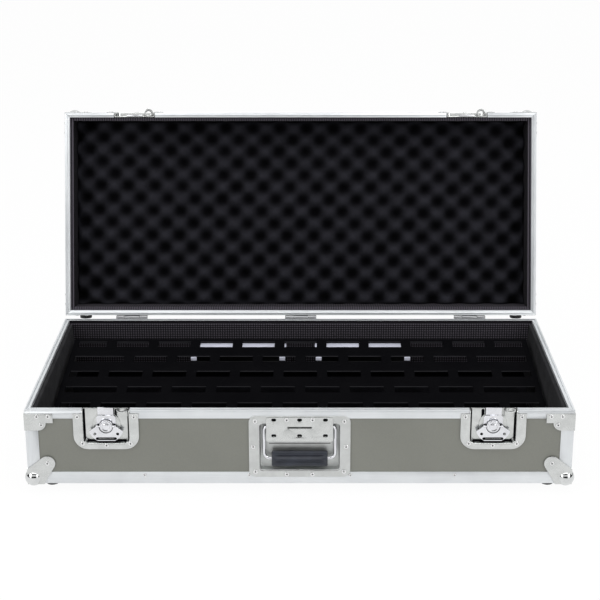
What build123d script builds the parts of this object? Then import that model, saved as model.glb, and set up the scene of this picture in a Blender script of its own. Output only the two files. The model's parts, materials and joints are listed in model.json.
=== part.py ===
from build123d import *
import math
import os

os.makedirs("parts", exist_ok=True)

# A flight case for a pedalboard, standing on its feet with the lid open against its hinge stops.
# X runs along the case, -Y is the front, +Z is up. It is drawn about the middle of the base, and each
# piece is saved with the origin on the floor, under the middle of the whole open case.
# Millimetres and degrees throughout.

# ---- the two halves ----
case_width = 936.0
case_depth = 403.0
base_height = 139.0
lid_height = 75.0
lid_opening = 105.0
parting_gap = 0.4
foot_height = 18.5

# ---- panels and aluminium edges ----
panel = 7.0
sheet = 1.2
angle_width = 22.0
saw_cut = 0.3
rim_cap = 2.8
rim_flange = 16.0
rim_lip = 7.0
rim_lip_sheet = 1.3
groove_width = 2.4
groove_depth = 1.4
tongue_clearance = 0.4
rim_line_drop = 1.9
rim_line_width = 0.6
rim_line_depth = 0.5

# ---- pressed steel fittings ----
plate = 1.2
plate_top = 6.5
cut_clearance = 0.5
rivet_radius = 3.9
rivet_height = 1.1
rivet_taper = 35.0

ball_radius = 14.5
ball_inset = 9.0
ball_lobe_u = 34.6
ball_lobe_v = 38.6
ball_lobe_radius = 13.5
ball_web = 27.0

brace_width = 48.0
brace_drop = 24.0
brace_lobe = 22.0
brace_lobe_drop = 38.0
lid_brace_drop = 20.0

# ---- butterfly latches ----
latch_from_side = 138.0
dish_width = 112.0
dish_drop = 73.5
dish_corner = 25.0
dish_floor = 9.0
pocket_width = 78.0
pocket_drop = 62.0
pocket_corner = 9.0
keeper_dish_drop = 46.0
keeper_pocket_drop = 34.0
latch_plate_sheet = 0.8
latch_plate_radius = 24.0
hub_drop = 31.0
hub_radius = 11.5
hub_front = 0.9
hub_back = 4.4
shaft_radius = 4.0
running_clearance = 0.05
trunnion_radius = 1.0
trunnion_depth = 1.4
trunnion_reach = 17.0
wing_clearance = 0.7
wing_front = 0.4
wing_sheet = 1.6
wing_drop = 26.5
wing_shoulder = 17.0
wing_flank_drop = 9.5
wing_mouth = 12.3
wing_eye_radius = 1.8
wing_eye_inner = 13.3
wing_hole_x = 19.5
wing_hole_drop = 13.5
wing_hole_radius = 2.6
wing_slot_width = 27.0
wing_slot_height = 2.6
wing_slot_drop = 22.4
hook_width = 27.0
hook_waist = 33.0
hook_sheet = 1.4
hook_low_depth = 6.2
hook_high_depth = 4.0
hook_crank_drop = 12.0
hook_crank_height = 3.0
hook_pivot_drop = 45.0
hook_pivot_depth = 6.1
hook_eye_radius = 1.9
hook_pin_radius = 1.0
hook_pin_length = 33.0
hook_ear_sheet = 1.2
hook_ear_radius = 2.1
bearing_radius = 5.8
bearing_rise = 1.2
end_gap = 0.1
hub_round = 0.8
hook_window_radius = 7.0
hook_swing = 3.0
claw_reach = 3.6
claw_rise = 2.1
lip_sheet = 1.2
lip_rise = 0.3
lip_width = 30.0
lip_front = 5.8
lip_leg = 16.0
lip_leg_sheet = 1.0
padlock_x = 28.0
padlock_width = 18.5
padlock_sheet = 1.6
padlock_hole = 4.5
padlock_clearance = 0.4
padlock_leg = 15.0
padlock_recess = 0.4
dish_rivet_side = 8.0
dish_rivet_drop = 12.5
dish_rivet_corner = 15.0
dish_rivet_rise = 11.0
dish_rivet_foot = 7.5

# ---- recessed handle ----
handle_width = 174.0
handle_height = 115.0
handle_corner = 12.0
handle_raise = 1.0
handle_pocket_width = 137.0
handle_pocket_height = 87.0
handle_pocket_low = 13.3
handle_pocket_corner = 6.0
handle_floor = 13.2
bail_x = 61.0
bail_rod = 3.0
bail_depth = 5.2
bail_pivot_low = 93.5
bail_length = 60.0
bail_bend = 11.0
bail_end_x = 30.0
bail_end_bend = 7.0
cheek_x = 40.0
cheek_sheet = 3.0
cheek_drop = 6.0
cheek_front = 0.3
grip_length = 96.0
grip_height = 29.0
grip_depth = 14.0
grip_corner = 1.5
cover_half_width = 57.0
cover_low = 68.0
cover_top_drop = 2.0
cover_corner = 3.0
cover_louvre_low = 94.0
cover_louvre_width = 40.0
cover_louvre_height = 3.0
handle_rivet_side = 11.0
handle_rivet_middle_side = 7.5
handle_rivet_drop = 10.0
handle_rivet_foot_x = 22.0
handle_rivet_foot_rise = 5.0
cover_hole_radius = 2.5
cover_hole_x = 44.0
cover_hole_drop = 6.5
cover_hole_rise = 11.0
spring_radius = 4.6
spring_wall = 1.1
spring_length = 10.0

# ---- hinges ----
hinge_from_side = 132.0
hinge_width = 62.0
hinge_offset = 4.75
hinge_leaf = 1.5
hinge_leaf_height = 26.0
hinge_barrel = 3.8
hinge_pin = 2.0
knuckle = 30.0
pin_clearance = 0.05
knuckle_gap = 0.5
stop_reach = 17.0
stop_width = 24.0
stop_drop = 8.0
stop_gap = 0.15
leaf_start = 4.5

# ---- linings and foam ----
front_liner = 8.0
rear_liner = 4.0
liner_recess = 0.4
floor_liner = 5.0
side_foam_top = 8.0
side_foam_bottom = 15.0
lid_liner_sheet = 8.0
lid_foam_height = 24.0
foam_gap = 0.5
foam_pitch = 54.6
foam_row = 24.7
foam_valley = 14.0
foam_peak = 9.0
foam_shift_x = -24.5
foam_shift_y = 0.6
board_rest_width = 40.0
board_rest_overhang = 5.0

# ---- pedalboard ----
board_side_gap = 2.3
board_rows = 6
row_pitch = 53.9
slot_pitch = 82.0
slot_length = 63.0
slot_depth = 20.0
slot_end_margin = 10.0
board_margin = 20.0
board_tilt = 6.9
board_sheet = 2.0
board_lip = 9.0
board_rear_gap = 27.8
board_rear_drop = 26.8
rail_width = 25.0
rail_end_gap = 17.5
rail_wall = 2.0
rail_height = 20.0
rear_rail_row = 1.5
front_rail_row = 4.5
board_foot_radius = 9.0
board_foot_height = 5.0
board_foot_inset = 35.0
tray_width = 184.0
tray_drop = 30.0
tray_sheet = 1.5
tray_strap = 19.0
tray_reach = 34.0
tray_x = 120.0
tray_rear_step = 3.0
tray_front_drop = 9.0
tray_tab_width = 11.0
tray_tab_x = 85.0
tray_tab_reach = 12.0

# ---- feet ----
foot_radius = 13.0
foot_taper = 2.0
rear_foot_radius = 12.0
rear_foot_height = 9.0

# ---- levels and faces that follow ----
half_width = case_width / 2
half_depth = case_depth / 2
underside = foot_height
parting = underside + base_height
lid_edge = parting + parting_gap
wall = sheet + panel
rim_width = wall + rim_lip_sheet
plate_front = -half_depth - plate
hinge_y = half_depth + hinge_offset
hinge_z = parting + parting_gap / 2
hinge_axis = Axis((0, hinge_y, hinge_z), (1, 0, 0))
latch_x = half_width - latch_from_side
hinge_x = half_width - hinge_from_side
wing_reach = pocket_drop - hub_drop - wing_clearance
padlock_centre_depth = dish_floor - padlock_sheet - padlock_clearance - padlock_hole
handle_top_drop = (base_height - handle_height) / 2 - handle_raise
base = {"edge": parting, "out": -1, "height": base_height}
lid = {"edge": lid_edge, "out": 1, "height": lid_height}


def level(half, from_edge):
    # height of a place that lies from_edge away from the parting line, into a half
    return half["edge"] + half["out"] * from_edge


def front(depth):
    # a plane facing the front, depth behind the front of the pressed plates: local x, y are X, Z
    return Plane(origin=(0, plate_front + depth, 0), x_dir=(1, 0, 0), z_dir=(0, -1, 0))


def across(x):
    # a plane facing +X: local x, y are Y, Z
    return Plane(origin=(x, 0, 0), x_dir=(0, 1, 0), z_dir=(1, 0, 0))


def opened(piece):
    # the lid is drawn shut and swings open about its hinges
    piece.part = piece.part.rotate(hinge_axis, -lid_opening)
    return piece


ball_from_hinge = Vector(0, -half_depth + ball_inset - hinge_y, lid_edge + lid_height - ball_inset - hinge_z)
lid_reach = hinge_y + ball_from_hinge.rotate(Axis.X, -lid_opening).Y + ball_radius
ball_reach = half_depth - ball_inset + ball_radius
front_reach = max(ball_reach, -plate_front - padlock_centre_depth + padlock_width / 2)
middle_y = (lid_reach - front_reach) / 2


def save(piece, label):
    placed = piece.part.moved(Location((0, -middle_y, 0)))
    placed.label = label
    export_step(placed, f"parts/{label}.step")


# ---- plywood panels ----
def wide_panel(half, y_outer, cuts):
    # front or back wall: cuts are (x, width, from_edge_low, from_edge_high) windows
    inward = -1 if y_outer > 0 else 1
    with BuildPart() as made:
        with BuildSketch(Plane(origin=(0, y_outer, 0), x_dir=(1, 0, 0), z_dir=(0, -1, 0))):
            top = level(half, rim_cap)
            low = level(half, half["height"] - sheet)
            with Locations((0, (top + low) / 2)):
                Rectangle(case_width - 2 * sheet, abs(top - low))
            for x, width, near, far in cuts:
                with Locations((x, (level(half, near) + level(half, far)) / 2)):
                    Rectangle(width, abs(far - near), mode=Mode.SUBTRACT)
        extrude(amount=-inward * panel)
    return made


def side_panels(half):
    with BuildPart() as made:
        for side in (-1, 1):
            with BuildSketch(across(side * (half_width - sheet))):
                top = level(half, rim_cap)
                low = level(half, half["height"] - sheet)
                with Locations((0, (top + low) / 2)):
                    Rectangle(case_depth - 2 * wall, abs(top - low))
            extrude(amount=-side * panel)
    return made


def flat_panel(half):
    with BuildPart() as made:
        with BuildSketch(Plane.XY.offset(level(half, half["height"] - sheet))):
            Rectangle(case_width - 2 * wall, case_depth - 2 * wall)
        extrude(amount=-half["out"] * panel)
    return made


pocket_cut = pocket_width + 2 * (plate + cut_clearance)
latch_cuts = [(side * latch_x, pocket_cut, 0.0, pocket_drop + plate + cut_clearance) for side in (-1, 1)]
keeper_cuts = [(side * latch_x, pocket_cut, 0.0, keeper_pocket_drop + plate + cut_clearance)
               for side in (-1, 1)]
handle_low_from_edge = handle_top_drop + handle_height
handle_pocket_far = handle_low_from_edge - handle_pocket_low
handle_pocket_near = handle_pocket_far - handle_pocket_height
handle_cut = (0.0, handle_pocket_width + 2 * (plate + cut_clearance),
              handle_pocket_near - plate - cut_clearance, handle_pocket_far + plate + cut_clearance)

base_bottom_panel = flat_panel(base)
save(base_bottom_panel, "base_bottom_panel")
base_front_panel = wide_panel(base, -half_depth + sheet, latch_cuts + [handle_cut])
save(base_front_panel, "base_front_panel")
base_back_panel = wide_panel(base, half_depth - sheet, [])
save(base_back_panel, "base_back_panel")
base_side_panels = side_panels(base)
save(base_side_panels, "base_side_panels")

lid_top_panel = opened(flat_panel(lid))
save(lid_top_panel, "lid_top_panel")
lid_front_panel = opened(wide_panel(lid, -half_depth + sheet, keeper_cuts))
save(lid_front_panel, "lid_front_panel")
lid_back_panel = opened(wide_panel(lid, half_depth - sheet, []))
save(lid_back_panel, "lid_back_panel")
lid_side_panels = opened(side_panels(lid))
save(lid_side_panels, "lid_side_panels")


# ---- aluminium edges ----
def edge_frame(half, outline, from_edge, cuts, low, high):
    # one profile mitred round all four sides; outline is in (inward, outward of the parting line)
    edge = level(half, from_edge)
    with BuildPart() as made:
        with BuildLine(Plane.XY.offset(edge)):
            Polyline((0, -half_depth), (half_width, -half_depth), (half_width, half_depth),
                     (-half_width, half_depth), (-half_width, -half_depth), close=True)
        with BuildSketch(Plane(origin=(0, -half_depth, edge), x_dir=(0, 1, 0), z_dir=(1, 0, 0))):
            with BuildLine():
                Polyline(*[(u, half["out"] * v) for u, v in outline], close=True)
            make_face()
        sweep(transition=Transition.RIGHT)
        middle = (level(half, low) + level(half, high)) / 2
        for x_side in (-1, 1):
            for y_side in (-1, 1):
                turn = 45 * x_side * y_side
                with Locations(Location((x_side * half_width, y_side * half_depth, middle), (0, 0, turn))):
                    Box(4 * angle_width, saw_cut, abs(high - low) + 2 * plate, mode=Mode.SUBTRACT)
        for x, width, near, far, depth in cuts:
            with Locations((x, -half_depth + depth / 2, (level(half, near) + level(half, far)) / 2)):
                Box(width, depth, abs(far - near), mode=Mode.SUBTRACT)
    return made


def rim(half, cuts, tongue):
    # box-section rim over the panel's edge, with a closing groove or its tongue along the top and a
    # fine line along its outer face
    middle = (rim_width + sheet - rim_lip_sheet) / 2
    groove = [(middle - groove_width / 2, 0), (middle - groove_width / 2, groove_depth),
              (middle + groove_width / 2, groove_depth), (middle + groove_width / 2, 0)]
    if tongue:
        half_tongue = groove_width / 2 - tongue_clearance
        rise = -(groove_depth - tongue_clearance) - parting_gap
        groove = [(middle - half_tongue, 0), (middle - half_tongue, rise),
                  (middle + half_tongue, rise), (middle + half_tongue, 0)]
    line_end = rim_line_drop + rim_line_width
    outline = [(0, 0)] + groove + [(rim_width, 0), (rim_width, rim_lip), (wall, rim_lip), (wall, rim_cap),
                                   (sheet, rim_cap), (sheet, rim_flange), (0, rim_flange), (0, line_end),
                                   (rim_line_depth, line_end), (rim_line_depth, rim_line_drop),
                                   (0, rim_line_drop)]
    return edge_frame(half, outline, 0, cuts, -groove_depth, rim_flange)


def edge_angles(half):
    outline = [(0, 0), (angle_width, 0), (angle_width, -sheet), (sheet, -sheet), (sheet, -angle_width),
               (0, -angle_width)]
    return edge_frame(half, outline, half["height"], [], half["height"] - angle_width, half["height"])


def corner_angles(half):
    length = half["height"] - angle_width - rim_flange
    with BuildPart() as made:
        with BuildSketch(Plane.XY.offset(level(half, rim_flange))):
            for x_side in (-1, 1):
                for y_side in (-1, 1):
                    corner_x = x_side * (half_width - angle_width / 2)
                    corner_y = y_side * (half_depth - angle_width / 2)
                    with Locations((corner_x, corner_y)):
                        Rectangle(angle_width, angle_width)
                    with Locations((corner_x - x_side * sheet, corner_y - y_side * sheet)):
                        Rectangle(angle_width, angle_width, mode=Mode.SUBTRACT)
        extrude(amount=half["out"] * length)
    return made


latch_rim_cuts = [(side * latch_x, pocket_cut, 0.0, rim_flange, rim_width) for side in (-1, 1)]
groove_slack = [(side * latch_x, pocket_cut, -groove_depth, 0.0, rim_width) for side in (-1, 1)]

base_rim_profile = rim(base, latch_rim_cuts, False)
save(base_rim_profile, "base_rim_profile")
base_bottom_angles = edge_angles(base)
save(base_bottom_angles, "base_bottom_angles")
base_corner_angles = corner_angles(base)
save(base_corner_angles, "base_corner_angles")
lid_rim_profile = opened(rim(lid, latch_rim_cuts + groove_slack, True))
save(lid_rim_profile, "lid_rim_profile")
lid_top_angles = opened(edge_angles(lid))
save(lid_top_angles, "lid_top_angles")
lid_corner_angles = opened(corner_angles(lid))
save(lid_corner_angles, "lid_corner_angles")


# ---- corner fittings ----
def ball_corners(half):
    # a pressed ball over each outer corner, with a riveted lobe on each of its three faces
    outer = level(half, half["height"])
    inward = -half["out"]
    corner = (-half_width, -half_depth, outer)
    faces = [(Plane(origin=corner, x_dir=(1, 0, 0), z_dir=(0, -1, 0)), inward),
             (Plane(origin=corner, x_dir=(0, 1, 0), z_dir=(-1, 0, 0)), -inward),
             (Plane(origin=corner, x_dir=(1, 0, 0), z_dir=(0, 0, -inward)), -inward)]
    with BuildPart() as made:
        for face, turn in faces:
            with BuildSketch(face):
                with BuildLine():
                    CenterArc((ball_lobe_u, turn * ball_lobe_v), ball_lobe_radius, 0, 360)
                    Polyline((ball_web, -turn * plate), (-plate, -turn * plate), (-plate, turn * ball_web))
                make_hull()
            extrude(amount=plate)
        with Locations((corner[0] + ball_inset, corner[1] + ball_inset, outer + inward * ball_inset)):
            Sphere(ball_radius)
        with Locations((corner[0] + angle_width, corner[1] + angle_width, outer + inward * angle_width)):
            Box(2 * angle_width, 2 * angle_width, 2 * angle_width, mode=Mode.SUBTRACT)
        mirror(about=Plane.YZ)
        mirror(about=Plane.XZ)
    return made


def brace_corners(half, drop, lobe_drop):
    # a plate folded round each upright corner beside the parting line, with a round lobe below it
    near = level(half, plate_top)
    step = level(half, drop)
    far = level(half, lobe_drop)
    radius = lobe_drop - drop
    faces = [(Plane(origin=(-half_width, -half_depth, 0), x_dir=(1, 0, 0), z_dir=(0, -1, 0)), 1),
             (Plane(origin=(-half_width, -half_depth, 0), x_dir=(0, -1, 0), z_dir=(-1, 0, 0)), -1)]
    with BuildPart() as made:
        for face, turn in faces:
            with BuildSketch(face):
                with BuildLine():
                    Polyline((-turn * plate, near), (turn * brace_width, near), (turn * brace_width, step),
                             (-turn * plate, step), close=True)
                make_face()
                if radius > 0:
                    with Locations((turn * (brace_lobe - plate) / 2, (step + far) / 2)):
                        Rectangle(brace_lobe + plate, radius)
                    with Locations((turn * brace_lobe, step)):
                        Circle(radius)
            extrude(amount=plate)
        mirror(about=Plane.YZ)
        mirror(about=Plane.XZ)
    return made


base_ball_corners = ball_corners(base)
save(base_ball_corners, "base_ball_corners")
base_brace_corners = brace_corners(base, brace_drop, brace_lobe_drop)
save(base_brace_corners, "base_brace_corners")
lid_ball_corners = opened(ball_corners(lid))
save(lid_ball_corners, "lid_ball_corners")
lid_brace_corners = opened(brace_corners(lid, lid_brace_drop, lid_brace_drop))
save(lid_brace_corners, "lid_brace_corners")


# ---- latch dishes ----
def rounded_drop(half, x, width, near, far, corner):
    # an outline that starts near the parting line and ends in two round corners
    with BuildSketch(Plane.XY) as made:
        with Locations((x, (level(half, near) + level(half, far)) / 2)):
            Rectangle(width, abs(far - near))
        far_end = made.vertices().group_by(Axis.Y, reverse=half["out"] > 0)[0]
        fillet(far_end, corner)
    return made.sketch


def dish(half, x, drop, pocket):
    outline = rounded_drop(half, x, dish_width, plate_top, drop, dish_corner)
    on_panel = rounded_drop(half, x, dish_width, rim_flange, drop, dish_corner)
    shell = rounded_drop(half, x, pocket_width + 2 * plate, 0, pocket + plate, pocket_corner + plate)
    hollow = rounded_drop(half, x, pocket_width, -plate, pocket, pocket_corner)
    with BuildPart() as made:
        extrude(front(0) * outline, amount=-plate)
        extrude(front(plate) * on_panel, amount=-sheet)
        extrude(front(0) * shell, amount=-dish_floor - plate)
        extrude(front(-plate) * hollow, amount=-dish_floor - plate, mode=Mode.SUBTRACT)
    return made


# ---- butterfly latches: the moving pieces ----
hub_z = parting - hub_drop
pivot_z = parting - hook_pivot_drop
eye_bore = trunnion_radius + running_clearance
pin_bore = hook_pin_radius + running_clearance


def across_rod(x, depth, z, radius, length, mode=Mode.ADD):
    # a round bar along X
    with Locations(Location((x, plate_front + depth, z), (0, 90, 0))):
        Cylinder(radius, length, mode=mode)


def latch_plate(x):
    # the plate riveted in the dish: a bearing for the hub, and two ears for the hook's pin
    floor = dish_floor - latch_plate_sheet
    ear_x = hook_waist / 2 - hook_ear_sheet
    with BuildPart() as made:
        with BuildSketch(front(floor)):
            with Locations((x, hub_z)):
                Circle(latch_plate_radius)
        extrude(amount=-latch_plate_sheet)
        with BuildSketch(front(floor - bearing_rise)):
            with Locations((x, hub_z)):
                Circle(bearing_radius)
        extrude(amount=-bearing_rise)
        for side in (-1, 1):
            with BuildSketch(across(x + side * ear_x - hook_ear_sheet / 2)):
                with Locations((plate_front + hook_pivot_depth, pivot_z)):
                    Circle(hook_ear_radius)
                with Locations((plate_front + (hook_pivot_depth + floor) / 2, pivot_z)):
                    Rectangle(floor - hook_pivot_depth, 2 * hook_ear_radius)
            extrude(amount=hook_ear_sheet)
        across_rod(x, hook_pivot_depth, pivot_z, pin_bore, hook_waist + 2 * hook_ear_sheet, Mode.SUBTRACT)
        with Locations(Location((x, plate_front + dish_floor, hub_z), (90, 0, 0))):
            Cylinder(shaft_radius + running_clearance, 4 * bearing_rise, mode=Mode.SUBTRACT)
    return made


def latch_hub(x):
    # a round head on a shaft, with two trunnions that carry the wing
    shaft_end = dish_floor - end_gap
    with BuildPart() as made:
        with BuildSketch(Plane(origin=(x, plate_front, hub_z), x_dir=(1, 0, 0), z_dir=(0, 0, 1))):
            with BuildLine():
                rim_start = (hub_radius - hub_round, hub_front)
                rim_end = (hub_radius, hub_front + hub_round)
                Line((0, hub_front), rim_start)
                RadiusArc(rim_start, rim_end, -hub_round)
                Polyline(rim_end, (hub_radius, hub_back),
                         (shaft_radius, hub_back), (shaft_radius, shaft_end), (0, shaft_end), (0, hub_front))
            make_face()
        revolve(axis=Axis((x, plate_front, hub_z), (0, 1, 0)))
        across_rod(x, trunnion_depth, hub_z, trunnion_radius, 2 * trunnion_reach)
    return made


def latch_wing(x):
    # the butterfly: a half-moon plate that folds flat over the hub, with two eyes on the trunnions
    eye_length = trunnion_reach - wing_eye_inner
    with BuildPart() as made:
        with BuildSketch(front(wing_front)):
            with Locations((x, hub_z)):
                Circle(wing_reach)
            with BuildLine():
                Polyline((x - wing_shoulder, hub_z), (x + wing_shoulder, hub_z),
                         (x + wing_reach, hub_z - wing_flank_drop), (x + wing_reach, hub_z - wing_drop),
                         (x - wing_reach, hub_z - wing_drop), (x - wing_reach, hub_z - wing_flank_drop),
                         close=True)
            make_face(mode=Mode.INTERSECT)
            with Locations((x, hub_z)):
                Circle(wing_mouth, mode=Mode.SUBTRACT)
            with Locations(*[(x + side * wing_hole_x, hub_z - wing_hole_drop) for side in (-1, 1)]):
                Circle(wing_hole_radius, mode=Mode.SUBTRACT)
            with Locations((x, hub_z - wing_slot_drop)):
                SlotOverall(wing_slot_width, wing_slot_height, mode=Mode.SUBTRACT)
        extrude(amount=-wing_sheet)
        for side in (-1, 1):
            eye_x = x + side * (wing_eye_inner + eye_length / 2)
            across_rod(eye_x, trunnion_depth, hub_z, wing_eye_radius, eye_length)
            across_rod(eye_x, trunnion_depth, hub_z, eye_bore, 2 * eye_length, Mode.SUBTRACT)
    return made


def latch_hook(x):
    # a cranked strip with a claw at the top, an eye at the foot and a window round the hub's shaft;
    # it leans out by its swing while the latch is undone
    low, high = hook_low_depth, hook_high_depth
    crank_top = hook_crank_drop - hook_crank_height
    tip = -claw_rise - hook_sheet
    profile = [(low, hook_pivot_drop), (low, hook_crank_drop), (high, crank_top), (high, tip),
               (high + claw_reach, tip), (high + claw_reach, -claw_rise), (high + hook_sheet, -claw_rise),
               (high + hook_sheet, crank_top), (low + hook_sheet, hook_crank_drop),
               (low + hook_sheet, hook_pivot_drop)]
    sides = [(hook_width, hook_pivot_drop + hook_eye_radius), (hook_width, hook_pivot_drop - hook_eye_radius),
             (hook_waist, hub_drop), (hook_waist, hook_crank_drop + hook_crank_height),
             (hook_width, hook_crank_drop), (hook_width, tip)]
    with BuildPart() as made:
        with BuildSketch(across(x - hook_waist / 2)):
            with BuildLine():
                Polyline(*[(plate_front + depth, parting - drop) for depth, drop in profile], close=True)
            make_face()
            with Locations((plate_front + hook_pivot_depth, pivot_z)):
                Circle(hook_eye_radius)
                Circle(pin_bore, mode=Mode.SUBTRACT)
        extrude(amount=hook_waist)
        with BuildSketch(front(0)):
            with BuildLine():
                Polyline(*[(x - width / 2, parting - drop) for width, drop in sides],
                         *[(x + width / 2, parting - drop) for width, drop in reversed(sides)], close=True)
            make_face()
            with Locations((x, hub_z)):
                Circle(hook_window_radius, mode=Mode.SUBTRACT)
        extrude(amount=-dish_floor, mode=Mode.INTERSECT)
    pivot = Axis((x, plate_front + hook_pivot_depth, pivot_z), (1, 0, 0))
    made.part = made.part.rotate(pivot, hook_swing)
    return made


def keeper(x):
    # the angle in the lid's dish whose lip the claw comes down over
    with BuildPart() as made:
        with BuildSketch(across(x - lip_width / 2)):
            with BuildLine():
                inner = plate_front + dish_floor
                outer = plate_front + lip_front
                low = level(lid, lip_rise)
                shelf = level(lid, lip_rise + lip_sheet)
                back = inner - lip_leg_sheet
                Polyline((inner, low), (outer, low), (outer, shelf), (back, shelf),
                         (back, level(lid, lip_leg)), (inner, level(lid, lip_leg)), close=True)
            make_face()
        extrude(amount=lip_width)
    return made


def padlock_tab(half, x):
    # an angle on the dish's floor whose eye stands out at the parting line
    top = level(half, padlock_recess)
    centre_y = plate_front + padlock_centre_depth
    floor_y = plate_front + dish_floor
    with BuildPart() as made:
        with BuildSketch(Plane.XY.offset(top)):
            with Locations((x, centre_y)):
                Circle(padlock_width / 2)
            with Locations((x, (centre_y + floor_y) / 2)):
                Rectangle(padlock_width, floor_y - centre_y)
            with Locations((x, floor_y + padlock_width / 2)):
                Rectangle(padlock_width, padlock_width, mode=Mode.SUBTRACT)
            with Locations((x, centre_y)):
                Circle(padlock_hole, mode=Mode.SUBTRACT)
        extrude(amount=half["out"] * padlock_sheet)
        with BuildSketch(front(dish_floor)):
            with Locations((x, (top + level(half, padlock_leg)) / 2)):
                Rectangle(padlock_width, abs(level(half, padlock_leg) - top))
        extrude(amount=padlock_sheet)
    return made


for side, name in ((-1, "left"), (1, "right")):
    x = side * latch_x
    save(dish(base, x, dish_drop, pocket_drop), f"{name}_latch_dish")
    save(latch_plate(x), f"{name}_latch_plate")
    save(latch_hub(x), f"{name}_latch_hub")
    save(latch_wing(x), f"{name}_latch_wing")
    save(latch_hook(x), f"{name}_latch_hook")
    save(opened(dish(lid, x, keeper_dish_drop, keeper_pocket_drop)), f"{name}_keeper_dish")
    save(opened(keeper(x)), f"{name}_keeper")

with BuildPart() as hook_pins:
    for side in (-1, 1):
        across_rod(side * latch_x, hook_pivot_depth, pivot_z, hook_pin_radius, hook_pin_length)
save(hook_pins, "hook_pins")


def gather(pieces):
    # several separate solids of one kind in one node
    with BuildPart() as made:
        for piece in pieces:
            add(piece.part)
    return made


base_padlock_tabs = gather([padlock_tab(base, side * latch_x + padlock_x) for side in (-1, 1)])
save(base_padlock_tabs, "base_padlock_tabs")
lid_padlock_tabs = opened(gather([padlock_tab(lid, side * latch_x + padlock_x) for side in (-1, 1)]))
save(lid_padlock_tabs, "lid_padlock_tabs")


# ---- recessed handle ----
handle_low = parting - handle_low_from_edge
handle_middle = handle_low + handle_height / 2
pocket_middle = parting - (handle_pocket_near + handle_pocket_far) / 2
bail_pivot = handle_low + bail_pivot_low
grip_z = bail_pivot - bail_length
bail_bore = bail_rod + running_clearance

with BuildPart() as handle_dish:
    with BuildSketch(front(0)):
        with Locations((0, handle_middle)):
            RectangleRounded(handle_width, handle_height, handle_corner)
    extrude(amount=-plate)
    with BuildSketch(front(plate)):
        with Locations((0, parting - (rim_flange + base_height - angle_width) / 2)):
            Rectangle(handle_width, base_height - angle_width - rim_flange)
    extrude(amount=-sheet)
    with BuildSketch(front(0)):
        with Locations((0, pocket_middle)):
            RectangleRounded(handle_pocket_width + 2 * plate, handle_pocket_height + 2 * plate,
                             handle_pocket_corner + plate)
    extrude(amount=-handle_floor - plate)
    with BuildSketch(front(0)):
        with Locations((0, pocket_middle)):
            RectangleRounded(handle_pocket_width, handle_pocket_height, handle_pocket_corner)
    extrude(amount=-handle_floor, mode=Mode.SUBTRACT)
save(handle_dish, "handle_dish")

cover_high = handle_height - cover_top_drop
cover_upper = handle_height - cover_hole_drop
cover_lower = cover_low + cover_hole_rise
with BuildPart() as handle_cover:
    with BuildSketch(front(-plate)):
        with Locations((0, handle_low + (cover_low + cover_high) / 2)):
            RectangleRounded(2 * cover_half_width, cover_high - cover_low, cover_corner)
        for x, z in [(x, z) for x in (0, cover_hole_x) for z in (cover_upper, cover_lower)]:
            with Locations((x, handle_low + z), (-x, handle_low + z)):
                Circle(cover_hole_radius, mode=Mode.SUBTRACT)
        with Locations((0, handle_low + cover_louvre_low)):
            SlotOverall(cover_louvre_width, cover_louvre_height, mode=Mode.SUBTRACT)
    extrude(amount=-plate)
save(handle_cover, "handle_cover")

with BuildPart() as handle_bearings:
    cheek_low = bail_pivot - cheek_drop
    cheek_high = pocket_middle + handle_pocket_height / 2
    for side in (-1, 1):
        with BuildSketch(across(side * cheek_x - cheek_sheet / 2)):
            with Locations((plate_front + (cheek_front + handle_floor) / 2, (cheek_low + cheek_high) / 2)):
                Rectangle(handle_floor - cheek_front, cheek_high - cheek_low)
            with Locations((plate_front + bail_depth, bail_pivot)):
                Circle(bail_bore, mode=Mode.SUBTRACT)
        extrude(amount=cheek_sheet)
save(handle_bearings, "handle_bearings")

with BuildPart() as handle_springs:
    for side in (-1, 1):
        spring_middle = side * (cheek_x + cheek_sheet / 2 + running_clearance + spring_length / 2)
        across_rod(spring_middle, bail_depth, bail_pivot, spring_radius, spring_length)
        across_rod(spring_middle, bail_depth, bail_pivot, spring_radius - spring_wall, 2 * spring_length,
                   Mode.SUBTRACT)
save(handle_springs, "handle_springs")

with BuildPart() as handle_bail:
    with BuildLine(front(bail_depth)) as bail_path:
        FilletPolyline((-bail_end_x, bail_pivot), (-bail_x, bail_pivot), (-bail_x, grip_z), (bail_x, grip_z),
                       (bail_x, bail_pivot), (bail_end_x, bail_pivot),
                       radius=[bail_end_bend, bail_bend, bail_bend, bail_end_bend])
    with BuildSketch(Plane(origin=bail_path.line @ 0, z_dir=bail_path.line % 0)):
        Circle(bail_rod)
    sweep()
save(handle_bail, "handle_bail")

with BuildPart() as handle_grip:
    with BuildSketch(across(-grip_length / 2)):
        with Locations((plate_front + bail_depth, grip_z)):
            Ellipse(grip_depth / 2, grip_height / 2)
    extrude(amount=grip_length)
    fillet(handle_grip.edges().filter_by(GeomType.ELLIPSE), grip_corner)
    across_rod(0, bail_depth, grip_z, bail_bore, 2 * grip_length, Mode.SUBTRACT)
save(handle_grip, "handle_grip")


# ---- rivets of the pressed plates ----
def rivet_heads(places, depth=0):
    # flat-topped heads on a front plate; places are (x, height)
    with BuildPart() as made:
        with BuildSketch(front(depth)):
            with Locations(*places):
                Circle(rivet_radius)
        extrude(amount=rivet_height, taper=rivet_taper)
    return made


def mirrored(places, z):
    return [(side * x, z + height) for x, height in places for side in (-1, 1)]


def dish_places(half, drop):
    # two beside the mouth, two in the round corners and one below the pocket of each dish
    upper = dish_width / 2 - dish_rivet_side
    lower = dish_width / 2 - dish_rivet_corner
    places = [(upper, dish_rivet_drop), (-upper, dish_rivet_drop), (lower, drop - dish_rivet_rise),
              (-lower, drop - dish_rivet_rise), (0, drop - dish_rivet_foot)]
    return [(side * latch_x + x, level(half, from_edge)) for side in (-1, 1) for x, from_edge in places]


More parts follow.
